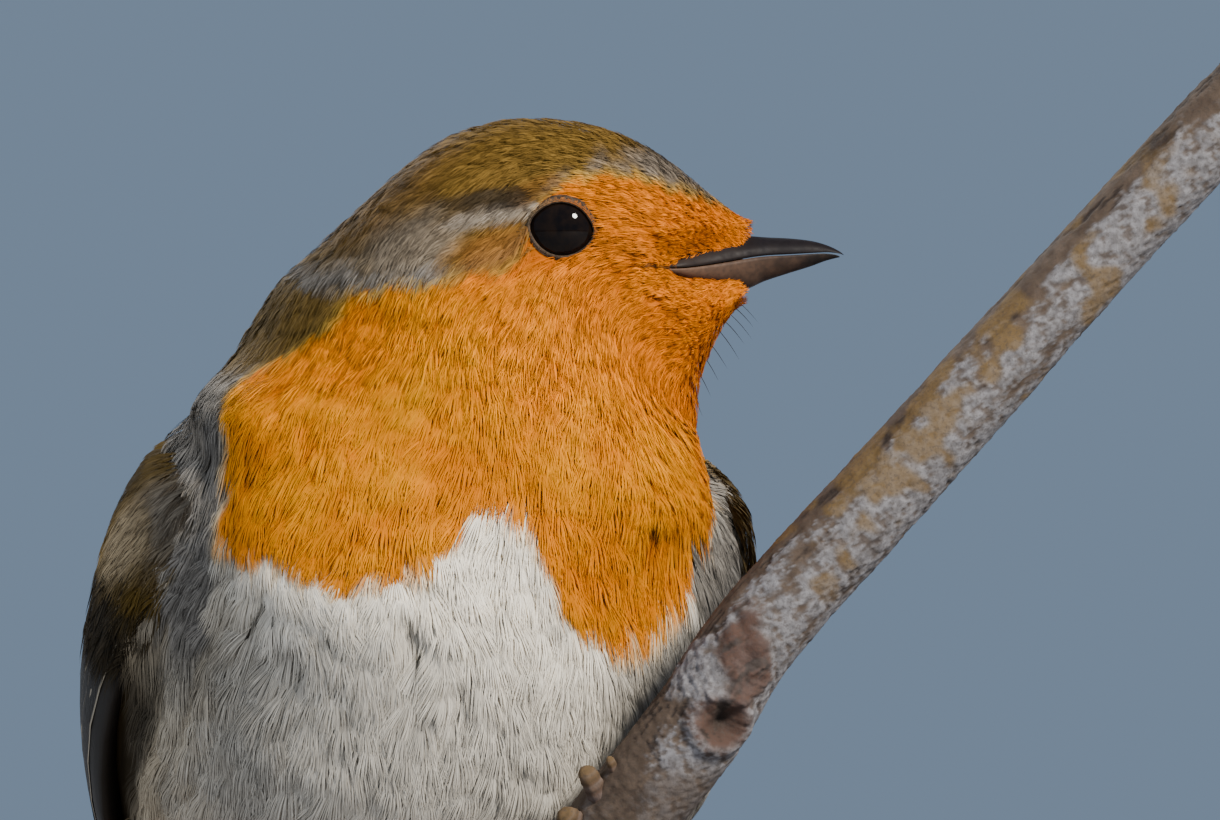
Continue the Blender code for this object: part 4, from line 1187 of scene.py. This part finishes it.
# ============================================================ eyes
# Large wet eyes, almost black, held in the bare rims of the lids. The rims carry two rows of
# tiny feathers, which are pale behind and under the eye.
EYE_INSET = 0.04 * MM
LID_OPENING = (2.36, 2.17)             # mm, half length and half height
LID_TILT = math.radians(-8.0)
LID_ROWS = (                           # mm out from the opening's edge, and off the eyeball
    (0.10, -0.06), (0.0, 0.06), (0.06, 0.20), (0.22, 0.26), (0.42, 0.22), (0.7, 0.05),
    (1.1, -0.25), (1.5, -0.6),
)
LID_STEPS = 48
RING_ROWS = (                          # mm out, mm long, mm high, and how many
    (0.13, 0.20, 0.30, 36),
    (0.26, 0.40, 0.26, 34),
)
RING_BARBS = 5                         # strands in one tiny feather
RING_BARB = 0.085                      # mm wide
RING_PALEST = math.radians(215.0)      # the side behind and under the eye


def dark_material(name, colour, roughness, gloss, patches):
    """A dark finish with its gloss and its patches: scale, low, high, most and two colours."""
    made, shader = plain_material(name, colour, roughness)
    shader.inputs["Specular IOR Level"].default_value = gloss
    tree = made.node_tree
    tree.links.new(mottled(tree, *patches), shader.inputs["Base Color"])
    return made


EYE_WET = dark_material("eye_wet", (0.004, 0.003, 0.002), 0.03, 0.22,
                        (1200.0, 0.35, 0.65, 1.0, (0.003, 0.002, 0.002), (0.009, 0.005, 0.003)))
LID_SKIN = dark_material("lid_skin", (0.030, 0.022, 0.017), 0.75, 0.15,
                         (2500.0, 0.4, 0.6, 1.0, (0.030, 0.020, 0.014), (0.085, 0.055, 0.034)))


def eye(name):
    """One eyeball in the place of its solid; its centre and its radius."""
    low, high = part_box(name)
    centre = (low + high) / 2
    radius = (high.z - low.z) / 2 - EYE_INSET
    mesh = bpy.data.meshes.new(name + "_ball")
    bm = bmesh.new()
    bmesh.ops.create_uvsphere(bm, u_segments=64, v_segments=40, radius=radius)
    upright = Matrix.Translation(centre) @ Matrix.Rotation(math.pi / 2, 4, "X")
    bmesh.ops.transform(bm, matrix=upright, verts=bm.verts)
    bm.to_mesh(mesh)
    bm.free()
    mesh.shade_smooth()
    mesh.materials.append(EYE_WET)
    ball = placed(name + "_ball", mesh)
    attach(ball, "root")
    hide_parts(name)
    return np.array(centre), radius


def lid_point(centre, radius, side, turn, out, height):
    """A point round the eye: out mm from the opening's edge, height off the eyeball."""
    corner = 1.0 + 0.11 * np.abs(np.cos(turn)) ** 6
    across = (LID_OPENING[0] * corner + out) * np.cos(turn)
    up = (LID_OPENING[1] + out) * np.sin(turn)
    x = (across * math.cos(LID_TILT) - up * math.sin(LID_TILT)) * MM
    z = (across * math.sin(LID_TILT) + up * math.cos(LID_TILT)) * MM
    reach = radius + height
    y = side * np.sqrt(np.maximum(reach ** 2 - x ** 2 - z ** 2, (0.3 * radius) ** 2))
    return centre + np.stack((x, y, z), axis=-1)


def lids(name, side, centre, radius):
    """The rolled rim of both lids, running out under the feathers."""
    turn = np.linspace(0.0, 2 * math.pi, LID_STEPS, endpoint=False)
    points = np.concatenate([lid_point(centre, radius, side, turn, out, height * MM)
                             for out, height in LID_ROWS])
    faces = ring_triangles(len(LID_ROWS), LID_STEPS)
    faces = faces if side > 0 else faces[:, ::-1]
    join_blocks(name + "_lids", [(points, {}, faces)], LID_SKIN, "body_plumage")


def eye_ring(name, side, centre, radius):
    """Rows of tiny feathers that stand round the lids like scales."""
    steps = (0.0, 0.5, 1.0)
    paths, normals, pales = [], [], []
    for out, length, lift, count in RING_ROWS:
        turn = (np.arange(count) + RANDOM.uniform(-0.15, 0.15, count)) * 2 * math.pi / count
        for strand in np.linspace(-0.5, 0.5, RING_BARBS):
            slant = turn + strand * 2 * math.pi / count * 0.8
            size = length * (1.0 - 1.2 * strand ** 2) * RANDOM.uniform(0.85, 1.15, count)
            heights = [(lift + 0.10 * math.sin(math.pi * step) - 0.30 * step) * MM for step in steps]
            path = np.stack([lid_point(centre, radius, side, slant, out + size * step, height)
                             for step, height in zip(steps, heights)], axis=1)
            paths.append(path)
            normals.append(unit(path - centre))
            front = 0.5 - 0.5 * np.cos(turn - RING_PALEST)
            pales.append(0.70 * (1.0 - front) ** 1.5)
    paths, normals, pale = (np.concatenate(parts) for parts in (paths, normals, pales))
    strands = len(paths)
    reach = np.tile((0.3, 0.7, 1.0), (strands, 1))
    place = (np.arange(strands) + 0.5) / strands
    unwrap = 0.01 + 0.98 * np.stack((place, (place * 7.0) % 1.0), axis=1)
    marks = {"brown": np.full(strands, 0.4), "olive": np.ones(strands), "pale": pale,
             "bib": 1.0 - pale, "dark": np.full(strands, 0.30)}
    tone = 0.5 + RANDOM.normal(0.0, 0.15, strands)
    widths = np.full(strands, RING_BARB * MM)
    made = barb_piece(name + "_ring", paths, normals, reach, unwrap, widths, marks, tone)


for eye_name, eye_side in (("eye_left", 1), ("eye_right", -1)):
    ball_centre, ball_radius = eye(eye_name)
    lids(eye_name, eye_side, ball_centre, ball_radius)
    eye_ring(eye_name, eye_side, ball_centre, ball_radius)

# ============================================================ bristles
# A few stiff dark hairs, each the bare shaft of a tiny feather, which grow from the skin of the
# chin and at the corners of the bill.
BRISTLES = (        # root, x y z in mm from the trunk's centre; direction, x y z; mm long
    (25.0, -9.6, 28.6, 0.80, -0.20, -0.50, 2.8), (24.9, -8.6, 28.0, 0.85, 0.20, -0.55, 2.5),
    (24.6, -9.9, 27.4, 0.75, -0.35, -0.55, 3.0), (24.2, -8.4, 26.8, 0.80, 0.30, -0.60, 2.6),
    (23.8, -9.4, 26.0, 0.70, -0.10, -0.70, 2.8), (23.0, -9.9, 25.0, 0.72, -0.30, -0.72, 2.6),
    (22.5, -8.5, 24.0, 0.68, 0.25, -0.80, 2.5), (22.0, -9.4, 22.8, 0.62, -0.15, -0.85, 2.4),
    (21.4, -9.6, 21.2, 0.60, -0.20, -0.90, 2.4), (21.2, -8.8, 20.0, 0.55, 0.20, -0.90, 2.2),
    (20.6, -14.0, 30.2, 0.85, -0.45, -0.25, 2.6), (20.6, -4.0, 30.2, 0.85, 0.45, -0.25, 2.6),
    (21.2, -13.6, 32.4, 0.90, -0.40, 0.00, 2.2), (21.2, -4.4, 32.4, 0.90, 0.40, 0.00, 2.2),
)
BRISTLE_WIDTH = 0.065                  # mm at the root
BRISTLE_JOINTS = 6
BRISTLE_SAG = 0.28                     # how far the tip hangs down, as a share of the length


def bristles():
    """All bristles as thin tapered ribbons that bend down."""
    rows = np.array(BRISTLES)
    steps = np.linspace(0.0, 1.0, BRISTLE_JOINTS)[None, :, None]
    way = unit(rows[:, 3:6])[:, None]
    length = rows[:, 6][:, None, None]
    sag = np.array((0.0, 0.0, -1.0)) * BRISTLE_SAG * length * steps ** 2
    paths = np.array(TRUNK_CENTRE) + (rows[:, None, :3] + way * length * steps + sag) * MM
    normals = np.broadcast_to(np.array((0.0, -1.0, 0.1)), paths.shape)
    count = len(rows)
    place = (np.arange(count) + 0.5) / count
    unwrap = 0.01 + 0.98 * np.stack((place, (place * 5.0) % 1.0), axis=1)
    made = barb_piece("bristles", paths, unit(normals), np.full((count, BRISTLE_JOINTS), 0.8),
                      unwrap, np.full(count, BRISTLE_WIDTH * MM),
                      {"olive": np.ones(count), "dark": np.ones(count)}, np.full(count, 0.3))


bristles()

# ============================================================ bill
# Slim dark bill: two shells of horn, rooted in the head under the feathers of the face. The
# upper half has a keeled ridge and a nostril in a groove; the lower half is paler at its base.
BILL_ROWS = (                          # mm: x, ridge, cutting edge, keel, half width
    (19.6, 32.1, 30.9, 30.1, 5.75),
    (21.2, 32.7, 30.95, 29.6, 5.05),
    (22.9, 33.2, 31.15, 29.3, 3.95),
    (24.8, 33.55, 31.45, 29.15, 3.02),
    (26.45, 33.60, 31.75, 29.20, 2.35),
    (28.0, 33.50, 31.95, 29.85, 1.66),
    (30.0, 33.40, 32.05, 30.50, 1.28),
    (31.8, 33.18, 32.15, 31.05, 0.92),
    (33.1, 32.80, 32.20, 31.52, 0.60),
    (34.0, 32.36, 32.10, 31.76, 0.34),
    (34.4, 32.04, 31.96, 31.84, 0.14),
)
BILL_RINGS = 64
BILL_SIDES = 32
BILL_PARTING = 0.05                    # mm, half the gap between the two halves
LOWER_SHORTER = 0.35                   # mm, the lower half ends this far before the upper one
NOSTRIL = (26.2, 0.85, 0.45)           # mm: x of its middle, half length and depth
NOSTRIL_TURN = (44.0, 9.0)             # degrees up from the cutting edge, and half width


def bill_material(name, base, tip, reach):
    """Glossy horn that turns from its base colour to its tip colour."""
    made, shader = plain_material(name, tip, 0.3)
    shader.inputs["Specular IOR Level"].default_value = 0.08
    tree = made.node_tree
    share = maths(tree, "ADD", ranged(tree, mark_value(tree, "along"), 0.0, reach, 0.0, 1.0),
                  ranged(tree, noise(tree, 900.0), 0.3, 0.7, -0.15, 0.15))
    colour = mottled(tree, 2600.0, 0.45, 0.7, 0.35, mixed(tree, share, base, tip),
                     tuple(1.7 * channel for channel in tip))
    tree.links.new(colour, shader.inputs["Base Color"])
    tree.links.new(ranged(tree, noise(tree, 1800.0), 0.3, 0.7, 0.42, 0.58), shader.inputs["Roughness"])
    return made


def mandible(name, upper, finish):
    """One half of the bill as a closed shell."""
    rows = through(BILL_ROWS, np.linspace(0.0, len(BILL_ROWS) - 1, BILL_RINGS))
    turn = np.linspace(0.0, 2 * math.pi, BILL_SIDES, endpoint=False) + math.pi / BILL_SIDES
    x, ridge, edge, keel, half = (column[:, None] for column in rows.T)
    if not upper:
        x = x - LOWER_SHORTER * np.linspace(0.0, 1.0, BILL_RINGS)[:, None]
    flat = edge + (BILL_PARTING if upper else -BILL_PARTING)
    lift = np.maximum(np.sin(turn), 0.0)[None]
    keeled = lift ** (0.95 if upper else 0.85)
    z = flat + ((ridge if upper else keel) - flat) * keeled
    cheek = np.sign(np.cos(turn))[None]
    y = half * (cheek * np.abs(np.cos(turn)) ** 0.78) * (1.0 - 0.18 * lift ** 2)
    if upper:
        rise = np.minimum(np.degrees(turn) % 180.0, 180.0 - np.degrees(turn) % 180.0)
        groove = np.exp(-((x - NOSTRIL[0]) / NOSTRIL[1]) ** 2
                        - ((rise - NOSTRIL_TURN[0]) / NOSTRIL_TURN[1]) ** 2)
        y = y - cheek * NOSTRIL[2] * groove * (lift > 0.0)
    points = np.stack((x + 0.0 * z, y + 0.0 * z, z), axis=-1) * MM
    points += (TRUNK_CENTRE.x, HEAD_PLANE_Y, TRUNK_CENTRE.z)
    ends = np.stack((points[0].mean(axis=0), points[-1].mean(axis=0)))
    count = BILL_RINGS * BILL_SIDES
    ring = np.arange(BILL_SIDES)
    after = (ring + 1) % BILL_SIDES
    last = count - BILL_SIDES
    faces = np.concatenate((ring_triangles(BILL_RINGS, BILL_SIDES),
                            np.stack((after, ring, 0 * ring + count), -1),
                            np.stack((last + ring, last + after, 0 * ring + count + 1), -1)))
    along = np.append(np.repeat(np.linspace(0.0, 1.0, BILL_RINGS), BILL_SIDES), (0.0, 1.0))
    block = (np.concatenate((points.reshape(-1, 3), ends)), {"along": along},
             faces[:, ::-1] if upper else faces)
    join_blocks(name + "_horn", [block], finish, "bill_horn", name)


upper_horn = bill_material("upper_horn", (0.034, 0.025, 0.021), (0.010, 0.008, 0.009), 0.5)
mandible("bill_upper", True, upper_horn)
lower_horn = bill_material("lower_horn", (0.15, 0.088, 0.058), (0.016, 0.013, 0.012), 0.75)
mandible("bill_lower", False, lower_horn)

# ============================================================ legs and claws
# Thin brown legs and padded toes in small scales, and curved dark claws of horn that grip the
# branch. The frame's own solids carry these finishes.
def scute_material(name, colour, scale):
    """Scaly leg skin: small scales with dark joints between them."""
    made, shader = plain_material(name, colour, 0.48)
    tree = made.node_tree
    place = tree.nodes.new("ShaderNodeTexCoord")
    cells = tree.nodes.new("ShaderNodeTexVoronoi")
    cells.feature = "DISTANCE_TO_EDGE"
    cells.inputs["Scale"].default_value = scale
    tree.links.new(place.outputs["Object"], cells.inputs["Vector"])
    joint = ranged(tree, cells.outputs["Distance"], 0.0, 0.12, 0.0, 1.0)
    scales = mixed(tree, joint, tuple(0.35 * channel for channel in colour), colour)
    scales = mottled(tree, 500.0, 0.35, 0.7, 0.5, scales, tuple(1.6 * channel for channel in colour))
    tree.links.new(scales, shader.inputs["Base Color"])
    relief(tree, shader, joint, 0.7, 0.12 * MM)
    return made


def finish_node(name, finish):
    """Give a solid of the frame a finish."""
    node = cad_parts[name]
    node.data.materials.clear()
    node.data.materials.append(finish)


leg_scutes = scute_material("leg_scutes", (0.20, 0.105, 0.062), 1300.0)
claw_horn = bill_material("claw_dark", (0.10, 0.06, 0.04), (0.035, 0.025, 0.02), 0.5)
for side_name in ("left", "right"):
    finish_node("leg_" + side_name, leg_scutes)
    for toe in range(1, 5):
        finish_node(f"claw_{side_name}_{toe}", claw_horn)

# ============================================================ perch
# A cut length of living branch: grey-brown bark under flaky silvery lichen, with ochre spots,
# a rough swollen knot, three stubs of side twigs and two sawn ends. Two rods hold it up.
BRANCH_LINE = (                        # mm from the trunk's centre: x, y, z and the radius
    (-11.4, -2.6, -50.0, 4.15), (-4.3, -7.6, -41.0, 4.15), (4.1, -13.2, -30.0, 4.10),
    (10.6, -17.6, -21.7, 4.10), (17.1, -20.8, -13.3, 4.15), (22.2, -22.2, -6.7, 4.05),
    (27.2, -22.8, 1.0, 3.85), (38.4, -23.2, 13.5, 3.75), (51.4, -23.5, 27.9, 3.55),
    (64.8, -23.8, 42.5, 3.40), (69.2, -23.9, 47.1, 3.38),
)
BRANCH_RINGS = 620
BRANCH_SIDES = 120
CRUST_SIDE = (0.45, -0.80, -0.35)      # the lichen crust is thickest on this side
OCHRE_SIDE = (-0.50, -0.80, 0.30)
KNOT = (24.2, -26.0, -6.6)             # mm from the trunk's centre: the hollow of the knot
FOLD = (26.2, -26.0, -1.2)             # the swollen lip above it
FLAKES = (22.6, -25.0, -2.6)           # a patch of flaky lichen beside it
NOISE_WAVES = 5                        # waves in each octave of the bark's noise
BARK_STRETCH = 0.72                    # how far patches and fissures are drawn out along the branch
BARK_SUNK = 0.05                       # mm, smooth bark lies this far inside the branch's radius
SPURS = (                              # foot, direction, length and radius in mm
    ((14.8, -22.0, -14.2), (-0.42, -0.45, 0.85), 5.0, 1.05),
    ((13.2, -21.3, -15.8), (-0.60, -0.60, 0.50), 3.6, 1.20),
    ((15.8, -22.6, -12.0), (-0.28, -0.45, 0.82), 3.2, 0.50),
)


def bark_material():
    """Bark with lichen crust; the crust's mask is on the mesh, so colour and relief agree."""
    made, shader = plain_material("bark_lichen", (0.10, 0.075, 0.055), 0.88)
    shader.inputs["Specular IOR Level"].default_value = 0.2
    tree = made.node_tree
    crust, ochre, knot, fissure = (mark_value(tree, mark)
                                   for mark in ("crust", "ochre", "knot", "fissure"))
    brown = mottled(tree, 700.0, 0.3, 0.7, 1.0, (0.062, 0.043, 0.031), (0.108, 0.078, 0.057))
    brown = mixed(tree, knot, brown, (0.085, 0.048, 0.036))
    # Fissures take a darker colour: partly the darker bark in the cracks, partly painted shade,
    # darkest in the knot's hollow.
    brown = mixed(tree, fissure, brown, (0.035, 0.025, 0.020))
    silver = mottled(tree, 1500.0, 0.35, 0.65, 1.0, (0.128, 0.120, 0.122), (0.245, 0.236, 0.245))
    colour = mixed(tree, crust, brown, silver)
    colour = mixed(tree, maths(tree, "MULTIPLY", ochre, 0.75), colour, (0.155, 0.098, 0.038))
    specks = ranged(tree, noise(tree, 3600.0, 5.0, 0.6), 0.50, 0.66, 0.0, 0.50)
    colour = mixed(tree, specks, colour, (0.062, 0.050, 0.042))
    tree.links.new(colour, shader.inputs["Base Color"])
    relief(tree, shader, noise(tree, 2600.0, 6.0, 0.65), 0.6, 0.12 * MM)
    return made


def tube_frames(path):
    """The direction of a path and two directions square to it, without twist."""
    ahead = unit(np.gradient(path, axis=0))
    side = np.zeros_like(path)
    now = unit(np.cross(ahead[0], (0.3, 0.9, 0.1)))
    for n, direction in enumerate(ahead):
        now = unit(now - direction * (now @ direction))
        side[n] = now
    return ahead, side, np.cross(ahead, side)


def wave_noise(points, scale, seed, octaves):
    """Smooth noise of points in mm, near 0 on average and within about 1."""
    values = np.zeros(points.shape[:-1])
    rng = np.random.default_rng(seed)
    size, weight = scale, 1.0
    for _ in range(octaves):
        for _ in range(NOISE_WAVES):
            way = unit(rng.normal(size=3)) / size * rng.uniform(0.7, 1.4)
            values += weight * np.sin(points @ way * 2 * math.pi + rng.uniform(0, 6.28)) / 3.2
        size *= 0.5
        weight *= 0.62
    return values


def bark_relief(at, out, ahead):
    """The marks and the height of the bark at points in mm, with the ways out and ahead."""
    stretched = at - (at * ahead).sum(-1, keepdims=True) * ahead * BARK_STRETCH
    # The crust lies in patches on its side of the branch, and thins out low on it.
    facing = out @ unit(np.array(CRUST_SIDE))
    patchy = wave_noise(stretched, 5.0, 3, 5) + 0.55 * wave_noise(at, 1.6, 4, 4)
    crust = smooth(0.0, 0.45, 1.15 * facing - 0.42 + 0.42 * patchy)
    crust *= 1.0 - 0.75 * smooth(0.35, 0.75, wave_noise(at, 1.1, 5, 2))
    lower = smooth(-9.0, -12.0, at[..., 2])
    crust *= 1.0 - 0.7 * lower
    ochre_facing = out @ unit(np.array(OCHRE_SIDE))
    ochre = smooth(0.15, 0.8, wave_noise(at, 7.0, 11, 3) + 0.7 * ochre_facing - 0.3)
    ochre = ochre * smooth(2.0, 6.0, at[..., 2]) * smooth(44.0, 36.0, at[..., 2])
    # The knot: a swollen lip over a hollow, bare of lichen, with flakes beside it.
    fold = np.linalg.norm((at - np.array(FOLD)) / np.array((2.2, 3.5, 4.3)), axis=-1)
    knot = np.clip(smooth(1.25, 0.7, fold + 0.15 * wave_noise(at, 2.5, 21, 3)), 0.0, 1.0)
    flakes = smooth(1.2, 0.7, np.linalg.norm((at - np.array(FLAKES)) / 3.0, axis=-1)
                    + 0.2 * wave_noise(at, 2.0, 22, 3))
    crust = np.maximum(crust * (1.0 - 0.9 * knot), 0.9 * flakes * (1.0 - knot))
    hollow = np.linalg.norm(at - np.array(KNOT), axis=-1)
    knot = np.maximum(knot, smooth(3.6, 2.2, hollow))
    crust *= smooth(1.6, 2.8, hollow)
    fissure = smooth(0.42, 0.75, wave_noise(stretched, 2.6, 31, 4))
    fissure = fissure * (1.0 - crust) * (1.0 - 0.6 * lower)
    # The bottom of the knot's hollow gets the fissure colour: painted shade in the hollow.
    fissure = np.maximum(fissure, np.exp(-(hollow / 1.25) ** 2))
    height = (0.05 * wave_noise(at, 8.0, 41, 3) + 0.10 * crust - 0.08 * fissure
              + 0.030 * wave_noise(at, 1.0, 42, 3) + knot * (0.30 + 0.14 * wave_noise(at, 2.2, 43, 3))
              + 0.10 * flakes * wave_noise(at, 1.3, 44, 3)
              + 0.30 * np.exp(-((hollow - 2.3) / 0.8) ** 2) - 1.25 * np.exp(-(hollow / 1.2) ** 2))
    marks = {"crust": crust, "ochre": ochre, "knot": knot, "fissure": fissure}
    return marks, height


def perch():
    """The branch as one dense tube whose relief follows its bark and crust."""
    place = np.linspace(0.0, len(BRANCH_LINE) - 1, BRANCH_RINGS)
    rows = through(BRANCH_LINE, place)
    path, radius = rows[:, :3], rows[:, 3]
    ahead, side, other = tube_frames(path)
    turn = np.linspace(0.0, 2 * math.pi, BRANCH_SIDES, endpoint=False)[None, :, None]
    out = side[:, None] * np.cos(turn) + other[:, None] * np.sin(turn)
    at = path[:, None] + out * radius[:, None, None]
    marks, height = bark_relief(at, out, ahead[:, None])
    points = np.array(TRUNK_CENTRE) + (at + out * (height - BARK_SUNK)[..., None]) * MM
    block = (points.reshape(-1, 3), {name: value.ravel() for name, value in marks.items()},
             ring_triangles(BRANCH_RINGS, BRANCH_SIDES))
    finish = bark_material()
    join_blocks("perch_bark", [block], finish, "bark", "perch")
    join_blocks("perch_spurs", [spur(*sizes) for sizes in SPURS], finish, "bark")
    ends = [cut_end(points[last], points[last].mean(axis=0) - points[before].mean(axis=0), last < 0)
            for last, before in ((0, 3), (-1, -4))]
    join_blocks("perch_cuts", ends, cut_wood_material(), "bark")


def spur(foot, way, length, radius):
    """A short stub of a side twig: ridged by old bud scars, with a rounded broken end."""
    rings, sides = 22, 24
    way = unit(np.array(way))
    side = unit(np.cross(way, (0.2, 0.4, 0.9)))
    other = np.cross(way, side)
    t = np.linspace(0.0, 1.0, rings)[:, None]
    turn = np.linspace(0.0, 2 * math.pi, sides, endpoint=False)[None]
    ridges = 0.04 * np.sin(t * 7 * 2 * math.pi + 0.6 * np.sin(3 * turn))
    size = radius * (1.3 - 0.35 * smooth(0.0, 0.35, t) + ridges)
    tip = np.clip((t - 0.8) / 0.2, 0.0, 1.0)
    size = size * (1.0 - 0.22 * t) * np.sqrt(1.0 - tip ** 2)
    size = size * (1.0 + 0.07 * np.sin(3 * turn + 4 * t) + 0.04 * np.sin(7 * turn - 9 * t))
    points = (np.array(foot) + way * (t * length)[..., None]
              + side * (size * np.cos(turn))[..., None] + other * (size * np.sin(turn))[..., None])
    level = (t + 0.0 * turn).ravel()
    bands = np.sin(level * 5 * 2 * math.pi)
    marks = {"crust": 0.25 * smooth(0.3, 0.9, bands), "ochre": 0.75 * smooth(0.45, 1.0, level),
             "knot": np.full(level.shape, 0.7), "fissure": 0.8 * smooth(0.55, 0.95, -bands)}
    points = np.array(TRUNK_CENTRE) + points.reshape(-1, 3) * MM
    return points, marks, ring_triangles(rings, sides)


def cut_end(rim, out, turned):
    """A sawn end inside the bark's rim: rings of sapwood round a pith."""
    rings = 26
    middle = rim.mean(axis=0)
    share = np.linspace(0.0, 1.0, rings)[:, None]
    dome = unit(out) * 0.12 * MM * (1.0 - share ** 2)[..., None]
    points = middle + (rim - middle)[None] * share[..., None] + dome
    faces = ring_triangles(rings, BRANCH_SIDES)
    faces = faces[:, ::-1] if turned else faces
    return points.reshape(-1, 3), {"ring": np.repeat(share[:, 0], BRANCH_SIDES)}, faces


def cut_wood_material():
    """Pale sawn wood with growth rings and a dark rind."""
    made, shader = plain_material("cut_wood", (0.42, 0.30, 0.17), 0.75)
    tree = made.node_tree
    ring = mark_value(tree, "ring")
    wavy = maths(tree, "ADD", maths(tree, "MULTIPLY", ring, 44.0),
                 maths(tree, "MULTIPLY", noise(tree, 500.0), 3.0))
    colour = mixed(tree, ranged(tree, maths(tree, "SINE", wavy), 0.2, 1.0, 0.0, 1.0),
                   (0.44, 0.32, 0.18), (0.26, 0.165, 0.085))
    rind = ranged(tree, ring, 0.88, 0.93, 0.0, 1.0)
    colour = mixed(tree, rind, colour, (0.075, 0.050, 0.035))
    pith = ranged(tree, ring, 0.05, 0.10, 1.0, 0.0)
    tree.links.new(mixed(tree, pith, colour, (0.12, 0.07, 0.04)), shader.inputs["Base Color"])
    return made


perch()

# ============================================================ stand
# The display stand: a turned disc of oiled walnut, and two brushed steel rods that rise from it
# and hold the branch. The frame's own solids carry these finishes.
def stretched_noise(tree, scales, detail, distortion):
    """Noise drawn out along the axes of a solid by its scales along X, Y and Z."""
    place = tree.nodes.new("ShaderNodeTexCoord")
    stretch = tree.nodes.new("ShaderNodeMapping")
    stretch.inputs["Scale"].default_value = scales
    tree.links.new(place.outputs["Object"], stretch.inputs["Vector"])
    lines = tree.nodes.new("ShaderNodeTexNoise")
    lines.inputs["Scale"].default_value = 1.0
    lines.inputs["Detail"].default_value = detail
    lines.inputs["Distortion"].default_value = distortion
    tree.links.new(stretch.outputs["Vector"], lines.inputs["Vector"])
    return lines.outputs["Fac"]


def walnut_material():
    """Oiled walnut with straight grain along X."""
    made, shader = plain_material("oiled_walnut", (0.10, 0.055, 0.030), 0.42)
    shader.inputs["Coat Weight"].default_value = 0.15
    shader.inputs["Coat Roughness"].default_value = 0.3
    tree = made.node_tree
    grain = stretched_noise(tree, (9.0, 110.0, 110.0), 6.0, 0.6)
    colour = mixed(tree, ranged(tree, grain, 0.35, 0.66, 0.0, 1.0),
                   (0.045, 0.024, 0.013), (0.155, 0.088, 0.045))
    tree.links.new(colour, shader.inputs["Base Color"])
    tree.links.new(ranged(tree, grain, 0.3, 0.7, 0.5, 0.34), shader.inputs["Roughness"])
    relief(tree, shader, grain, 0.15, 0.2 * MM)
    return made


def steel_material():
    """Steel brushed round the rod."""
    made, shader = plain_material("brushed_rod", (0.52, 0.52, 0.53), 0.32, 1.0)
    tree = made.node_tree
    lines = stretched_noise(tree, (300.0, 300.0, 9000.0), 2.0, 0.0)
    tree.links.new(ranged(tree, lines, 0.3, 0.7, 0.24, 0.44), shader.inputs["Roughness"])
    return made


finish_node("stand_base", walnut_material())
rod_steel = steel_material()
for rod_name in ("stand_rod_low", "stand_rod_high"):
    finish_node(rod_name, rod_steel)
